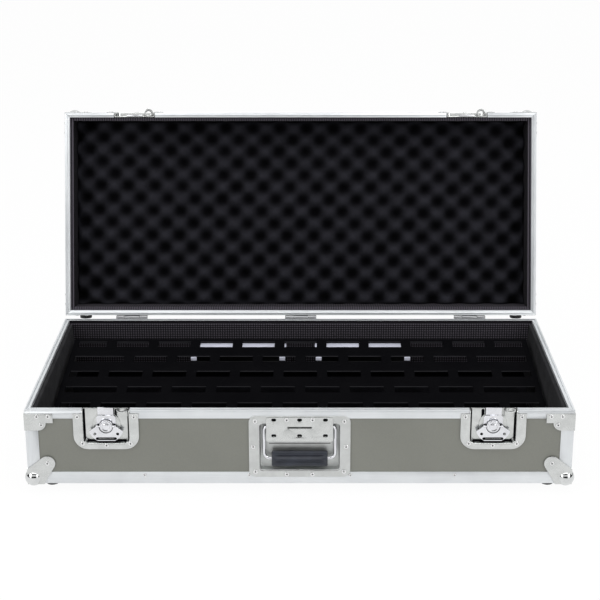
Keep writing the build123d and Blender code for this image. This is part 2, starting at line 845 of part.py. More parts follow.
save(rivet_heads(dish_places(base, dish_drop)), "latch_rivets")
save(opened(rivet_heads(dish_places(lid, keeper_dish_drop))), "keeper_rivets")
handle_places = [(handle_width / 2 - handle_rivet_side, handle_height - handle_rivet_drop),
                 (handle_width / 2 - handle_rivet_middle_side, handle_height / 2),
                 (handle_width / 2 - handle_rivet_side, handle_rivet_drop),
                 (handle_rivet_foot_x, handle_rivet_foot_rise)]
dish_heads = rivet_heads(mirrored(handle_places, handle_low))
cover_heads = rivet_heads(mirrored([(handle_rivet_foot_x, cover_upper)], handle_low), -plate)
save(gather([dish_heads, cover_heads]), "handle_rivets")

# ---- hinges ----
hinge_bore = hinge_pin + pin_clearance
hinge_places = [-hinge_x, 0.0, hinge_x]


def leaf_outline(half):
    # a leaf flat on the rear face, with a strip that leads to the barrel
    face = half_depth
    barrel_side = hinge_y - hinge_barrel
    far = level(half, hinge_leaf_height)
    near = level(half, leaf_start)
    bend = level(half, leaf_start + hinge_leaf)
    with BuildSketch(Plane.XY) as leaf:
        with BuildLine():
            Polyline((face, far), (face + hinge_leaf, far), (face + hinge_leaf, bend), (face, bend),
                     close=True)
        make_face()
    with BuildSketch(Plane.XY) as knuckle_strip:
        with BuildLine():
            Polyline((face, bend), (face + hinge_leaf, bend), (barrel_side + hinge_leaf, hinge_z),
                     (barrel_side, hinge_z), (face, near), close=True)
        make_face()
        with Locations((hinge_y, hinge_z)):
            Circle(hinge_barrel)
            Circle(hinge_bore, mode=Mode.SUBTRACT)
    return leaf.sketch, knuckle_strip.sketch


def hinge_leaves(half, knuckles):
    # knuckles are (start, length) along each hinge, from its middle
    leaf, knuckle_strip = leaf_outline(half)
    with BuildPart() as made:
        for x in hinge_places:
            extrude(across(x - hinge_width / 2) * leaf, amount=hinge_width)
            for start, length in knuckles:
                extrude(across(x + start) * knuckle_strip, amount=length)
    return made


def stop_height(y):
    # height of the open lid's leaf above the base's stop, less the gap
    lean = math.radians(lid_opening - 90)
    above = hinge_offset - hinge_leaf
    along = (y - hinge_y - above * math.sin(lean)) / math.cos(lean)
    return hinge_z - along * math.sin(lean) + above * math.cos(lean) - stop_gap


end_knuckle = (hinge_width - knuckle) / 2 - knuckle_gap
base_knuckles = [(-hinge_width / 2, end_knuckle), (knuckle / 2 + knuckle_gap, end_knuckle)]
with BuildPart() as hinge_base_leaves:
    add(hinge_leaves(base, base_knuckles).part)
    stop_back = hinge_y + stop_reach
    shelf = parting - stop_drop
    for x in hinge_places:
        with BuildSketch(across(x - stop_width / 2)):
            with BuildLine():
                Polyline((half_depth, shelf), (stop_back - hinge_leaf, shelf),
                         (stop_back - hinge_leaf, stop_height(stop_back - hinge_leaf)),
                         (stop_back, stop_height(stop_back)), (stop_back, shelf - hinge_leaf),
                         (half_depth, shelf - hinge_leaf), close=True)
            make_face()
        extrude(amount=stop_width)
save(hinge_base_leaves, "hinge_base_leaves")
hinge_lid_leaves = opened(hinge_leaves(lid, [(-knuckle / 2, knuckle)]))
save(hinge_lid_leaves, "hinge_lid_leaves")

with BuildPart() as hinge_pins:
    for x in hinge_places:
        with Locations(Location((x, hinge_y, hinge_z), (0, 90, 0))):
            Cylinder(hinge_pin, hinge_width)
save(hinge_pins, "hinge_pins")

# ---- linings and foam ----
inner_x = half_width - wall
inner_y = half_depth - wall
floor_top = underside + wall + floor_liner
lining_top = parting - rim_lip
panel_back = plate + wall

with BuildPart() as base_floor_liner:
    with BuildSketch(Plane.XY.offset(underside + wall)):
        Rectangle(2 * inner_x, 2 * inner_y)
    extrude(amount=floor_liner)
save(base_floor_liner, "base_floor_liner")

with BuildPart() as base_wall_liners:
    with BuildSketch(Plane.XY.offset(floor_top)):
        with Locations((0, -inner_y + front_liner / 2)):
            Rectangle(2 * inner_x, front_liner)
        with Locations((0, inner_y - rear_liner / 2)):
            Rectangle(2 * inner_x, rear_liner)
    extrude(amount=lining_top - floor_top)
    for side in (-1, 1):
        with BuildSketch(front(0)):
            with Locations((side * latch_x, parting - pocket_drop / 2)):
                Rectangle(pocket_cut, pocket_drop + 2 * (plate + cut_clearance))
        extrude(amount=-dish_floor - plate - liner_recess, mode=Mode.SUBTRACT)
    with BuildSketch(front(0)):
        with Locations((0, pocket_middle)):
            Rectangle(handle_cut[1], handle_pocket_height + 2 * (plate + cut_clearance))
    extrude(amount=-handle_floor - plate - liner_recess, mode=Mode.SUBTRACT)
save(base_wall_liners, "base_wall_liners")

with BuildPart() as side_foam:
    for side in (-1, 1):
        with BuildSketch(front(panel_back + front_liner)):
            with BuildLine():
                Polyline((side * inner_x, floor_top), (side * (inner_x - side_foam_bottom), floor_top),
                         (side * (inner_x - side_foam_top), lining_top), (side * inner_x, lining_top),
                         close=True)
            make_face()
        extrude(amount=-(2 * inner_y - front_liner - rear_liner))
save(side_foam, "side_foam")

lid_inside = lid_edge + lid_height - wall
with BuildPart() as lid_liner:
    with BuildSketch(Plane.XY.offset(lid_edge + rim_lip)):
        Rectangle(2 * inner_x, 2 * inner_y)
        Rectangle(2 * (inner_x - lid_liner_sheet), 2 * (inner_y - lid_liner_sheet), mode=Mode.SUBTRACT)
    extrude(amount=lid_inside - lid_edge - rim_lip)
    for side in (-1, 1):
        with BuildSketch(front(0)):
            with Locations((side * latch_x, lid_edge + keeper_pocket_drop / 2)):
                Rectangle(pocket_cut, keeper_pocket_drop + 2 * (plate + cut_clearance))
        extrude(amount=-dish_floor - plate - liner_recess, mode=Mode.SUBTRACT)
save(opened(lid_liner), "lid_liner")

with BuildPart() as lid_foam:
    with BuildSketch(Plane.XY.offset(lid_inside)):
        Rectangle(2 * (inner_x - lid_liner_sheet - foam_gap), 2 * (inner_y - lid_liner_sheet - foam_gap))
    extrude(amount=-lid_foam_height)
    # egg-crate face: straight valleys along both diagonals of the pattern leave a blunt peak between them
    valley_run = math.hypot(foam_pitch / 2, foam_row)
    spacing = foam_pitch * foam_row / valley_run
    half_valley = (spacing - foam_peak) / 2
    across_count = 2 * math.ceil(math.hypot(case_width, case_depth) / 2 / spacing) + 1
    for lean in (1, -1):
        along = Vector(foam_pitch / 2, lean * foam_row, 0) / valley_run
        face = Plane(origin=(foam_shift_x, foam_shift_y, lid_inside - lid_foam_height),
                     x_dir=(-along.Y, along.X, 0), z_dir=along)
        with BuildSketch(face):
            with GridLocations(spacing, 0, across_count, 1):
                Polygon((-half_valley, 0), (half_valley, 0), (0, foam_valley), align=None)
        extrude(amount=case_width, both=True, mode=Mode.SUBTRACT)
save(opened(lid_foam), "lid_foam")

# ---- pedalboard ----
board_width = 2 * (inner_x - side_foam_bottom - board_side_gap)
board_depth = (board_rows - 1) * row_pitch + 2 * board_margin
slot_run = board_width - 2 * slot_end_margin
rail_length = board_width - 2 * rail_end_gap
board_foot_x = rail_length / 2 - board_foot_inset
board_rest_length = rail_length + 2 * board_rest_overhang
tilt = math.radians(board_tilt)
board_rear = Vector(0, inner_y - rear_liner - board_rear_gap, parting - board_rear_drop)
board_normal = Vector(0, -math.sin(tilt), math.cos(tilt))


def board_level(below):
    # a plane parallel to the deck, below its top: local x is X, local y runs up the slope from the rear edge
    return Plane(origin=board_rear - board_normal * below, x_dir=(1, 0, 0), z_dir=board_normal)


def board_side(x):
    # a plane across the board: local x runs down the slope from the rear edge, local y is up from the deck
    return Plane(origin=board_rear + Vector(x, 0, 0), x_dir=(0, -math.cos(tilt), -math.sin(tilt)),
                 z_dir=(-1, 0, 0))


def slot_row(row):
    # (middle, length) of each slot in a row: a staggered grid, with one longer or shorter slot at each end
    spread = 0 if row % 2 == 0 else slot_pitch / 2
    count = int((slot_run / 2 - spread) // slot_pitch)
    inner = sorted({side * (spread + k * slot_pitch) for k in range(count) for side in (-1, 1)})
    web = slot_pitch - slot_length
    start = inner[-1] + slot_length / 2 + web
    end = (start + slot_run / 2) / 2
    length = slot_run / 2 - start
    return [(x, slot_length) for x in inner] + [(-end, length), (end, length)]


with BuildPart() as pedal_board:
    with BuildSketch(board_level(0)):
        with Locations((0, -board_depth / 2)):
            Rectangle(board_width, board_depth)
        for row in range(board_rows):
            for x, length in slot_row(row):
                with Locations((x, -board_margin - row * row_pitch)):
                    Rectangle(length, slot_depth, mode=Mode.SUBTRACT)
    extrude(amount=-board_sheet)
    with BuildSketch(board_level(0)):
        for s in (board_sheet / 2, board_depth - board_sheet / 2):
            with Locations((0, -s)):
                Rectangle(board_width, board_sheet)
    extrude(amount=-board_lip)
save(pedal_board, "pedal_board")

rail_rows = [board_margin + row * row_pitch for row in (rear_rail_row, front_rail_row)]
with BuildPart() as board_rails:
    for s in rail_rows:
        with BuildSketch(board_side(rail_length / 2)):
            with Locations((s, -board_sheet - rail_height / 2)):
                Rectangle(rail_width, rail_height)
            with Locations((s + rail_wall, -board_sheet - rail_height / 2)):
                Rectangle(rail_width, rail_height - 2 * rail_wall, mode=Mode.SUBTRACT)
        extrude(amount=rail_length)
save(board_rails, "board_rails")

board_foot_top = board_sheet + rail_height
with BuildPart() as board_feet:
    with BuildSketch(board_level(board_foot_top)):
        with Locations(*[(side * board_foot_x, -s) for side in (-1, 1) for s in rail_rows]):
            Circle(board_foot_radius)
    extrude(amount=-board_foot_height)
save(board_feet, "board_feet")

with BuildPart() as power_trays:
    # a strap under the rear slots, a trough below it, and two tabs that meet the deck's underside
    near = board_margin - slot_depth / 2 + tray_rear_step
    corner = near + tray_strap
    foot = corner + tray_reach
    under = -board_sheet
    low = under - tray_drop
    wall_top = under - tray_front_drop
    for side in (-1, 1):
        with BuildSketch(board_side(side * tray_x + tray_width / 2)):
            with BuildLine():
                Polyline((near, under), (corner, under), (corner, low), (foot - tray_sheet, low),
                         (foot - tray_sheet, wall_top), (foot, wall_top), (foot, low - tray_sheet),
                         (corner - tray_sheet, low - tray_sheet), (corner - tray_sheet, under - tray_sheet),
                         (near, under - tray_sheet), close=True)
            make_face()
        extrude(amount=tray_width)
        for end in (-1, 1):
            with BuildSketch(board_side(side * tray_x + end * tray_tab_x + tray_tab_width / 2)):
                with BuildLine():
                    Polyline((foot - tray_tab_reach, under), (foot, under), (foot, wall_top),
                             (foot - tray_sheet, wall_top), (foot - tray_sheet, under - tray_sheet),
                             (foot - tray_tab_reach, under - tray_sheet), close=True)
                make_face()
            extrude(amount=tray_tab_width)
save(power_trays, "power_trays")

with BuildPart() as board_rests:
    for s in rail_rows:
        with BuildSketch(board_side(board_rest_length / 2)):
            with Locations((s, -board_foot_top - board_foot_height - base_height / 2)):
                Rectangle(board_rest_width, base_height)
        extrude(amount=board_rest_length)
    with BuildSketch(Plane.XY.offset(floor_top)):
        Rectangle(case_width, case_depth)
    extrude(amount=-case_depth, mode=Mode.SUBTRACT)
save(board_rests, "board_rests")

# ---- feet ----
with BuildPart() as bottom_feet:
    with BuildSketch(Plane.XY.offset(underside - plate)):
        for x_side in (-1, 1):
            for y_side in (-1, 1):
                with Locations((x_side * (half_width - ball_lobe_u), y_side * (half_depth - ball_lobe_v))):
                    Circle(foot_radius)
    extrude(amount=-(foot_height - plate), taper=foot_taper)
save(bottom_feet, "bottom_feet")


def rear_feet(half):
    # rubber feet on the rear lobes of the ball corners, for the case standing on its back
    z = level(half, half["height"] - ball_lobe_v)
    with BuildPart() as made:
        with BuildSketch(Plane(origin=(0, half_depth + plate, z), x_dir=(1, 0, 0), z_dir=(0, 1, 0))):
            with Locations((half_width - ball_lobe_u, 0), (-half_width + ball_lobe_u, 0)):
                Circle(rear_foot_radius)
        extrude(amount=rear_foot_height, taper=foot_taper)
    return made


save(rear_feet(base), "base_rear_feet")
save(opened(rear_feet(lid)), "lid_rear_feet")
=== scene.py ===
import json
import math

import bmesh
import bpy
import numpy as np
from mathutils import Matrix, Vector


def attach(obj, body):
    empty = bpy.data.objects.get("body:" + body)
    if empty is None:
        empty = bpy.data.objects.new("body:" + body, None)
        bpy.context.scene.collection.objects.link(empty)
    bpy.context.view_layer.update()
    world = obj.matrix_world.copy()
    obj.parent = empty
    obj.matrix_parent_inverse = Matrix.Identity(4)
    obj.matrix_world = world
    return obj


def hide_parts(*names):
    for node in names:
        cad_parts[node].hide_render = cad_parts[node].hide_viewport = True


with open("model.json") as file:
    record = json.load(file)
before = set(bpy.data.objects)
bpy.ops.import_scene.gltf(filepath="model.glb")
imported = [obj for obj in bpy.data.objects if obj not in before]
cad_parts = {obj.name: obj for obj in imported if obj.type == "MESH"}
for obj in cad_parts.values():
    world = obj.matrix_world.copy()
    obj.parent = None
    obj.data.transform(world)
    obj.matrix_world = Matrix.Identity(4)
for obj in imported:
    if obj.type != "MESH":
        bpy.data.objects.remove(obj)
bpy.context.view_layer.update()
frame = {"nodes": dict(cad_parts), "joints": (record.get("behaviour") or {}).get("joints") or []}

mm = 0.001
joints = {joint["name"]: joint for joint in frame["joints"]}
hingePoint = np.array(joints["lid_hinge"]["pos_m"])
lidOpening = math.radians(joints["lid_hinge"]["range_deg"][1])
case = {"width": 936, "depth": 403, "baseHeight": 139, "lidHeight": 75, "gap": 0.4, "foot": 18.5,
        "hingeOffset": 4.75, "plate": 1.2, "wall": 8.2, "foam": 24, "latchX": 330}
halfWidth, halfDepth = case["width"] / 2, case["depth"] / 2
parting = case["foot"] + case["baseHeight"]
lidParting = parting + case["gap"]
lidTop = lidParting + case["lidHeight"]
plateFront = -halfDepth - case["plate"]
middleY = halfDepth + case["hingeOffset"] - hingePoint[1] / mm


def tone(red, green, blue):
    # a colour in screen values, 0 to 255, made linear
    parts = [value / 255 for value in (red, green, blue)]
    return tuple(((p + 0.055) / 1.055) ** 2.4 if p > 0.04045 else p / 12.92 for p in parts) + (1.0,)


def shaded(colour, factor, lift=0.0):
    return tuple(part * factor + lift for part in colour[:3]) + (1.0,)


def placed(points):
    # millimetres about the middle of the base become metres in the shared frame
    return (np.asarray(points, float) - [0, middleY, 0]) * mm


def turned(points, angle):
    # points turned about the hinge line: shutting the lid is +lidOpening, swinging it open the reverse
    offset = np.asarray(points, float) - hingePoint
    y = offset[..., 1] * math.cos(angle) - offset[..., 2] * math.sin(angle)
    z = offset[..., 1] * math.sin(angle) + offset[..., 2] * math.cos(angle)
    return np.stack([offset[..., 0], y, z], -1) + hingePoint


def stay(points):
    return points


def shut(points):
    return turned(points, lidOpening)


def swung(points):
    return turned(points, -lidOpening)


def nodePoints(node):
    mesh = frame["nodes"][node].data
    points = np.empty(len(mesh.vertices) * 3, np.float32)
    mesh.vertices.foreach_get("co", points)
    return points.reshape(-1, 3).astype(float)


def nodeBox(node, place=stay):
    points = place(nodePoints(node))
    return points.min(0), points.max(0)


def looseParts(points, triangles):
    # boxes of the separate solids in one node: each vertex takes the lowest label of its triangles
    # until nothing changes
    keys, labels = np.unique(np.round(points, 6), axis=0, return_inverse=True)
    corner = labels.reshape(-1)[triangles]
    group = np.arange(len(keys))
    while True:
        lowest = group[corner].min(1)
        renewed = group.copy()
        for column in range(3):
            np.minimum.at(renewed, corner[:, column], lowest)
        if (renewed == group).all():
            break
        group = renewed
    return [(keys[group == g].min(0), keys[group == g].max(0)) for g in np.unique(group)]


def nodeParts(node, place=stay):
    mesh = frame["nodes"][node].data
    mesh.calc_loop_triangles()
    triangles = np.empty(len(mesh.loop_triangles) * 3, np.int32)
    mesh.loop_triangles.foreach_get("vertices", triangles)
    return looseParts(place(nodePoints(node)), triangles.reshape(-1, 3))


print("frame loaded:", len(frame["nodes"]), "nodes")


class Wire:
    # one socket of a shader tree; arithmetic on wires adds the Math nodes that work it out
    def __init__(self, tree, socket):
        self.tree, self.socket = tree, socket

    def maths(self, operation, *values):
        return self.tree.maths(operation, *values)

    def __add__(self, other):
        return self.maths("ADD", self, other)

    def __sub__(self, other):
        return self.maths("SUBTRACT", self, other)

    def __rsub__(self, other):
        return self.maths("SUBTRACT", other, self)

    def __mul__(self, other):
        return self.maths("MULTIPLY", self, other)

    def __truediv__(self, other):
        return self.maths("DIVIDE", self, other)

    def __rtruediv__(self, other):
        return self.maths("DIVIDE", other, self)

    def __pow__(self, other):
        return self.maths("POWER", self, other)

    def __rpow__(self, other):
        return self.maths("POWER", other, self)

    def __lt__(self, other):
        return self.maths("LESS_THAN", self, other)

    def __gt__(self, other):
        return self.maths("GREATER_THAN", self, other)

    def __abs__(self):
        return self.maths("ABSOLUTE", self)

    __radd__, __rmul__ = __add__, __mul__

    def sine(self):
        return self.maths("SINE", self)

    def between(self, low, high):
        return self.tree.node("MapRange", {"interpolation_type": "SMOOTHSTEP"},
                              {"Value": self, "From Min": low, "From Max": high})

    def axis(self, name):
        return Wire(self.tree, self.tree.parts(self)[name])


class Tree:
    # the nodes of one material or of the world, and one way to add any node to them
    def __init__(self, owner):
        owner.use_nodes = True
        self.nodes, self.links, self.split = owner.node_tree.nodes, owner.node_tree.links, {}

    def feed(self, socket, value):
        if isinstance(value, Wire):
            self.links.new(value.socket, socket)
        else:
            socket.default_value = value

    def node(self, kind, settings=None, values=None, output=0):
        made = self.nodes.new("ShaderNode" + kind)
        for key, value in (settings or {}).items():
            setattr(made, key, value)
        for key, value in (values or {}).items():
            self.feed(made.inputs[key], value)
        return Wire(self, made.outputs[output])

    def maths(self, operation, *values):
        return self.node("Math", {"operation": operation}, dict(enumerate(values)))

    def parts(self, vector):
        if vector.socket not in self.split:
            split = self.node("SeparateXYZ", None, {0: vector})
            self.split[vector.socket] = split.socket.node.outputs
        return self.split[vector.socket]

    def seen(self):
        # 1 where the eye looks, straight, off gloss or through glass; 0 for the light on the object
        eye = self.node("LightPath", None, None, "Is Camera Ray")
        for ray in ("Is Glossy Ray", "Is Transmission Ray"):
            path = self.node("LightPath", None, None, ray)
            eye = self.maths("MAXIMUM", eye, path)
        return eye


class Finish(Tree):
    # one material with a surface shader
    def __init__(self, name, **fixed):
        self.material = bpy.data.materials.new(name)
        super().__init__(self.material)
        self.surface = self.nodes["Principled BSDF"]
        self.paint(**fixed)

    def paint(self, **inputs):
        for socket, value in inputs.items():
            self.feed(self.surface.inputs[socket.replace("_", " ")], value)

    def place(self, rotation=(0, 0, 0), location=(0, 0, 0)):
        # the object's own coordinates, in metres, turned and shifted
        here = self.node("TexCoord", None, None, "Object")
        return self.node("Mapping", {"vector_type": "POINT"},
                         {"Vector": here, "Rotation": rotation, "Location": location})

    def stretched(self, vector, scale):
        return self.node("VectorMath", {"operation": "MULTIPLY"}, {0: vector, 1: scale})

    def noise(self, vector, scale, detail=2.0, roughness=0.5):
        return self.node("TexNoise", None, {"Vector": vector, "Scale": scale, "Detail": detail,
                                            "Roughness": roughness})

    def mix(self, amount, low, high):
        return self.node("Mix", {"data_type": "RGBA"}, {0: amount, 6: low, 7: high}, 2)

    def bump(self, height, distance):
        return self.node("Bump", None, {"Height": height, "Distance": distance, "Strength": 1.0})


baseTurn = {}  # a pattern on the base runs along the shared axes
# the turn that shuts the lid, so that a pattern on it runs along its own edges
lidTurn = {"rotation": (lidOpening, 0, 0), "location": tuple(shut([0, 0, 0]))}


# laminate: a hard resin face with a fine speckle
def laminateFinish(name, turn):
    look = {"colour": tone(120, 121, 114), "dark": tone(110, 111, 104), "cloud": 9, "speckle": 900,
            "roughness": 0.42, "depth": 0.00006}
    finish = Finish(name)
    place = finish.place(**turn)
    cloud = finish.noise(place, look["cloud"], 3)
    speck = finish.noise(place, look["speckle"], 3, 0.6)
    shade = (speck * 0.7 + cloud * 0.5).between(0.35, 0.85)
    finish.paint(Base_Color=finish.mix(shade, look["dark"], look["colour"]),
                 Roughness=look["roughness"] + speck * 0.08, Normal=finish.bump(speck, look["depth"]))
    return finish.material


# aluminium: satin anodised, with the fine lines of the extrusion along each length
def aluminiumFinish(name, turn, upright=False, lined=False):
    look = {"colour": tone(220, 223, 225), "dull": tone(201, 204, 207), "cloth": tone(40, 38, 43),
            "lines": 2600, "drawn": 0.004, "cloud": 14, "roughness": 0.3, "depth": 0.00005}
    finish = Finish(name, Metallic=0.6)
    place = finish.place(**turn)
    x, y = place.axis("X"), place.axis("Y")
    drawn = look["drawn"]
    if upright:
        lines = finish.noise(finish.stretched(place, (1, 1, drawn)), look["lines"], 2)
    else:
        # each corner's mitre parts the lengths along X from those along Y
        sideways = abs(y + middleY * mm) - abs(x) < halfDepth * mm - halfWidth * mm
        alongX = finish.noise(finish.stretched(place, (drawn, 1, 1)), look["lines"], 2)
        alongY = finish.noise(finish.stretched(place, (1, drawn, 1)), look["lines"], 2)
        lines = alongX + (alongY - alongX) * sideways
    cloud = finish.noise(place, look["cloud"], 3)
    shade = (lines * 0.6 + cloud * 0.6).between(0.3, 0.8)
    satin = finish.mix(shade, look["dull"], look["colour"])
    if lined:
        # the lining's cloth is carried over the inner lip along the back
        facing = finish.node("NewGeometry", None, None, "True Normal").axis("Y") * -1 > 0.8
        satin = finish.mix(facing * (y > 0), satin, look["cloth"])
    finish.paint(Base_Color=satin, Roughness=look["roughness"] + lines * 0.12 + cloud * 0.05,
                 Normal=finish.bump(lines, look["depth"]))
    return finish.material


# pressed steel with bright zinc plate, a little uneven from the press; painted shade darkens the plate
# wherever other faces stand close by, in holes and folds, and round the marks, which are painted
# shade too; reach and marks are in millimetres
def steelFinish(name, colour, roughness, reach, paintedShade, paintedShadeMarks=(), wave=0.00003):
    look = {"paintedShade": tone(10, 11, 13), "dull": 0.88, "cloud": 60, "grain": 1500, "press": 95}
    finish = Finish(name, Metallic=1.0)
    place = finish.place()
    cloud = finish.noise(place, look["cloud"], 3)
    grain = finish.noise(place, look["grain"], 2)
    # painted shade: ambient occlusion within the reach darkens the plate towards a near black
    openness = finish.node("AmbientOcclusion", {"samples": 12}, {"Distance": reach * mm}, "AO")
    unshaded = openness.between(*paintedShade)
    across, high = place.axis("X"), place.axis("Z")
    # each mark is a spot or line of painted shade with round ends
    for x, z, halfWide, halfHigh in paintedShadeMarks:
        # distance from the middle line of a mark with round ends, over the radius of the ends
        end = min(halfWide, halfHigh)
        beside = finish.maths("MAXIMUM", abs(across - x * mm) - (halfWide - end) * mm, 0.0)
        above = finish.maths("MAXIMUM", abs(high - z * mm) - (halfHigh - end) * mm, 0.0)
        unshaded = unshaded * ((beside ** 2 + above ** 2) ** 0.5 / (end * mm)).between(0.85, 1.15)
    plated = finish.mix(cloud.between(0.3, 0.75), shaded(colour, look["dull"]), colour)
    finish.paint(Base_Color=finish.mix(unshaded, look["paintedShade"], plated),
                 Roughness=roughness + grain * 0.06 + cloud * 0.08,
                 Normal=finish.bump(finish.noise(place, look["press"], 1), wave))
    return finish.material


# baked pale paint on the trays, with painted shade: black below the sloping deck, where the deck shades
# them
def paintFinish(name, colour):
    look = {"deckHeight": 0.12, "deckSlope": 0.1215, "pale": 0.006, "black": 0.008,
            "trough": tone(9, 9, 11), "dull": 0.85, "peel": 900, "cloud": 22, "roughness": 0.4,
            "depth": 0.00008}
    finish = Finish(name, Specular_IOR_Level=0.3)
    place = finish.place()
    peel = finish.noise(place, look["peel"], 2)
    cloud = finish.noise(place, look["cloud"], 3)
    paint = finish.mix(cloud.between(0.3, 0.8), shaded(colour, look["dull"]), colour)
    # painted shade: the paint goes black between the two depths below the deck
    below = look["deckHeight"] - place.axis("Z") + place.axis("Y") * look["deckSlope"]
    depth = below.between(look["pale"], look["black"])
    finish.paint(Base_Color=finish.mix(depth, paint, look["trough"]),
                 Roughness=look["roughness"] + peel * 0.12, Normal=finish.bump(peel, look["depth"]))
    return finish.material


# lining cloth: a dark ground with a diagonal weave of lighter threads
def liningFinish(name, turn, plane):
    look = {"ground": tone(22, 21, 24), "thread": tone(84, 80, 88), "pitch": 9.4, "fuzz": 1800,
            "depth": 0.0004}
    finish = Finish(name, Roughness=0.95, Specular_IOR_Level=0.15)
    place = finish.place(**turn)
    u, v = place.axis(plane[0]), place.axis(plane[1])
    step = 2 * math.pi / (look["pitch"] * mm)
    threads = ((u + v) * step).sine() * ((u - v) * step).sine()
    fuzz = finish.noise(place, look["fuzz"], 3)
    shade = (threads * 0.5 + fuzz * 0.9).between(0.35, 1.0)
    finish.paint(Base_Color=finish.mix(shade, look["ground"], look["thread"]),
                 Normal=finish.bump(threads * 0.6 + fuzz, look["depth"]))
    return finish.material


# foam: open cells under a millimetre across, darker from the peaks towards the bottom of the
# valleys where those two heights are given, in millimetres
def foamFinish(name, colour, pale, turn=baseTurn, peak=0.0, valley=0.0):
    look = {"cells": 1700, "cloud": 40, "shadow": tone(2, 2, 4), "depth": 0.0005}
    finish = Finish(name, Roughness=1.0, Specular_IOR_Level=0.1)
    place = finish.place(**turn)
    cells = finish.node("TexVoronoi", {"feature": "F1"}, {"Vector": place, "Scale": look["cells"]},
                        "Distance")
    cloud = finish.noise(place, look["cloud"], 3)
    shade = finish.mix((cells * 0.8 + cloud * 0.6).between(0.3, 1.0), colour, pale)
    if valley:
        sunk = place.axis("Z").between(peak * mm, valley * mm)
        shade = finish.mix(sunk, shade, look["shadow"])
    finish.paint(Base_Color=shade, Normal=finish.bump(cells, look["depth"]))
    return finish.material


# powder coat: fine orange peel
def coatFinish(name):
    look = {"colour": tone(5, 5, 7), "worn": tone(10, 10, 12), "edge": tone(74, 74, 78),
            "edgeHighlightShare": 0.55, "peel": 700, "cloud": 18, "roughness": 0.7, "depth": 0.00015}
    finish = Finish(name, Specular_IOR_Level=0.03)
    place = finish.place()
    peel = finish.noise(place, look["peel"], 2)
    cloud = finish.noise(place, look["cloud"], 3)
    shade = (peel * 0.5 + cloud * 0.6).between(0.4, 0.9)
    paint = finish.mix(shade, look["colour"], look["worn"])
    facing = finish.node("NewGeometry", None, None, "True Normal")
    # punched edges that face the front are painted lighter: partly the cut metal, partly a painted
    # highlight
    litFrontEdges = facing.axis("Y") * -1 > 0.8  # the edges that the punch left, towards the front
    finish.paint(Base_Color=finish.mix(litFrontEdges * look["edgeHighlightShare"], paint, look["edge"]),
                 Roughness=look["roughness"] + peel * 0.15, Normal=finish.bump(peel, look["depth"]))
    return finish.material


# moulded rubber: matt with a slight bloom
def rubberFinish(name, colour, roughness):
    look = {"grain": 1100, "bloom": 45, "pale": 1.6, "lift": 0.003, "depth": 0.00012}
    finish = Finish(name)
    place = finish.place()
    grain = finish.noise(place, look["grain"], 3)
    bloom = finish.noise(place, look["bloom"], 3).between(0.35, 0.8)
    finish.paint(Base_Color=finish.mix(bloom, colour, shaded(colour, look["pale"], look["lift"])),
                 Roughness=roughness + grain * 0.2, Normal=finish.bump(grain, look["depth"]))
    return finish.material


# painted shade marks round holes and along folds, (x, z, half width, half height) in millimetres
holeColumns = (-44, 0, 44)
coverShadeMarks = [(x, z, 4.2, 2.7) for x in holeColumns for z in (140, 110.5)] + [(0, 125.5, 21, 1.6)]
dishShadeMarks = ([(x, z, 5.5, 4.2) for x in holeColumns for z in (139.5, 106)]
             + [(0, 121.5, 24, 3), (0, 94.6, 57, 1.5), (0, 88.8, 53, 0.7)])
pocketShadeMarks = ((-17.5, 144, 2.6, 12), (-37.4, 128, 1.5, 29), (37.4, 128, 1.5, 29), (0, 97.4, 34, 1.5))
latchShadeMarks = [(side * (case["latchX"] + x), z, halfWide, halfHigh)
              for side in (-1, 1) for x, z, halfWide, halfHigh in pocketShadeMarks]
wingShadeMarks = [(side * case["latchX"], 104.1, 18, 2.6) for side in (-1, 1)]

bright, chromed = tone(212, 214, 213), tone(230, 231, 235)
steels = {
    "zinc": {"colour": bright, "roughness": 0.2, "reach": 9, "paintedShade": (0.3, 0.62)},
    "cover": {"colour": bright, "roughness": 0.2, "reach": 9, "paintedShade": (0.3, 0.62), "paintedShadeMarks": coverShadeMarks},
    "latchDish": {"colour": bright, "roughness": 0.16, "reach": 14, "paintedShade": (0.32, 0.66),
                  "paintedShadeMarks": latchShadeMarks},
    "handleDish": {"colour": bright, "roughness": 0.46, "reach": 4.5, "paintedShade": (0.15, 0.55),
                   "paintedShadeMarks": dishShadeMarks},
    "rivetZinc": {"colour": tone(232, 233, 233), "roughness": 0.16, "reach": 2.5, "paintedShade": (0.62, 0.85)},
    "ball": {"colour": tone(218, 220, 220), "roughness": 0.03, "reach": 3, "paintedShade": (0.2, 0.5),
             "wave": 0.00002},
    "keeper": {"colour": tone(214, 215, 219), "roughness": 0.1, "reach": 12, "paintedShade": (0.4, 0.85)},
    "hinge": {"colour": tone(150, 151, 153), "roughness": 0.25, "reach": 5, "paintedShade": (0.35, 0.7)},
    "chrome": {"colour": chromed, "roughness": 0.08, "reach": 8, "paintedShade": (0.2, 0.62)},
    "wing": {"colour": chromed, "roughness": 0.08, "reach": 8, "paintedShade": (0.2, 0.62), "paintedShadeMarks": wingShadeMarks},
    "hubCap": {"colour": chromed, "roughness": 0.08, "reach": 2, "paintedShade": (0.45, 0.85)},
}
foamFace = lidTop - case["wall"] - case["foam"]
finishes = {name: steelFinish(name, **look) for name, look in steels.items()}
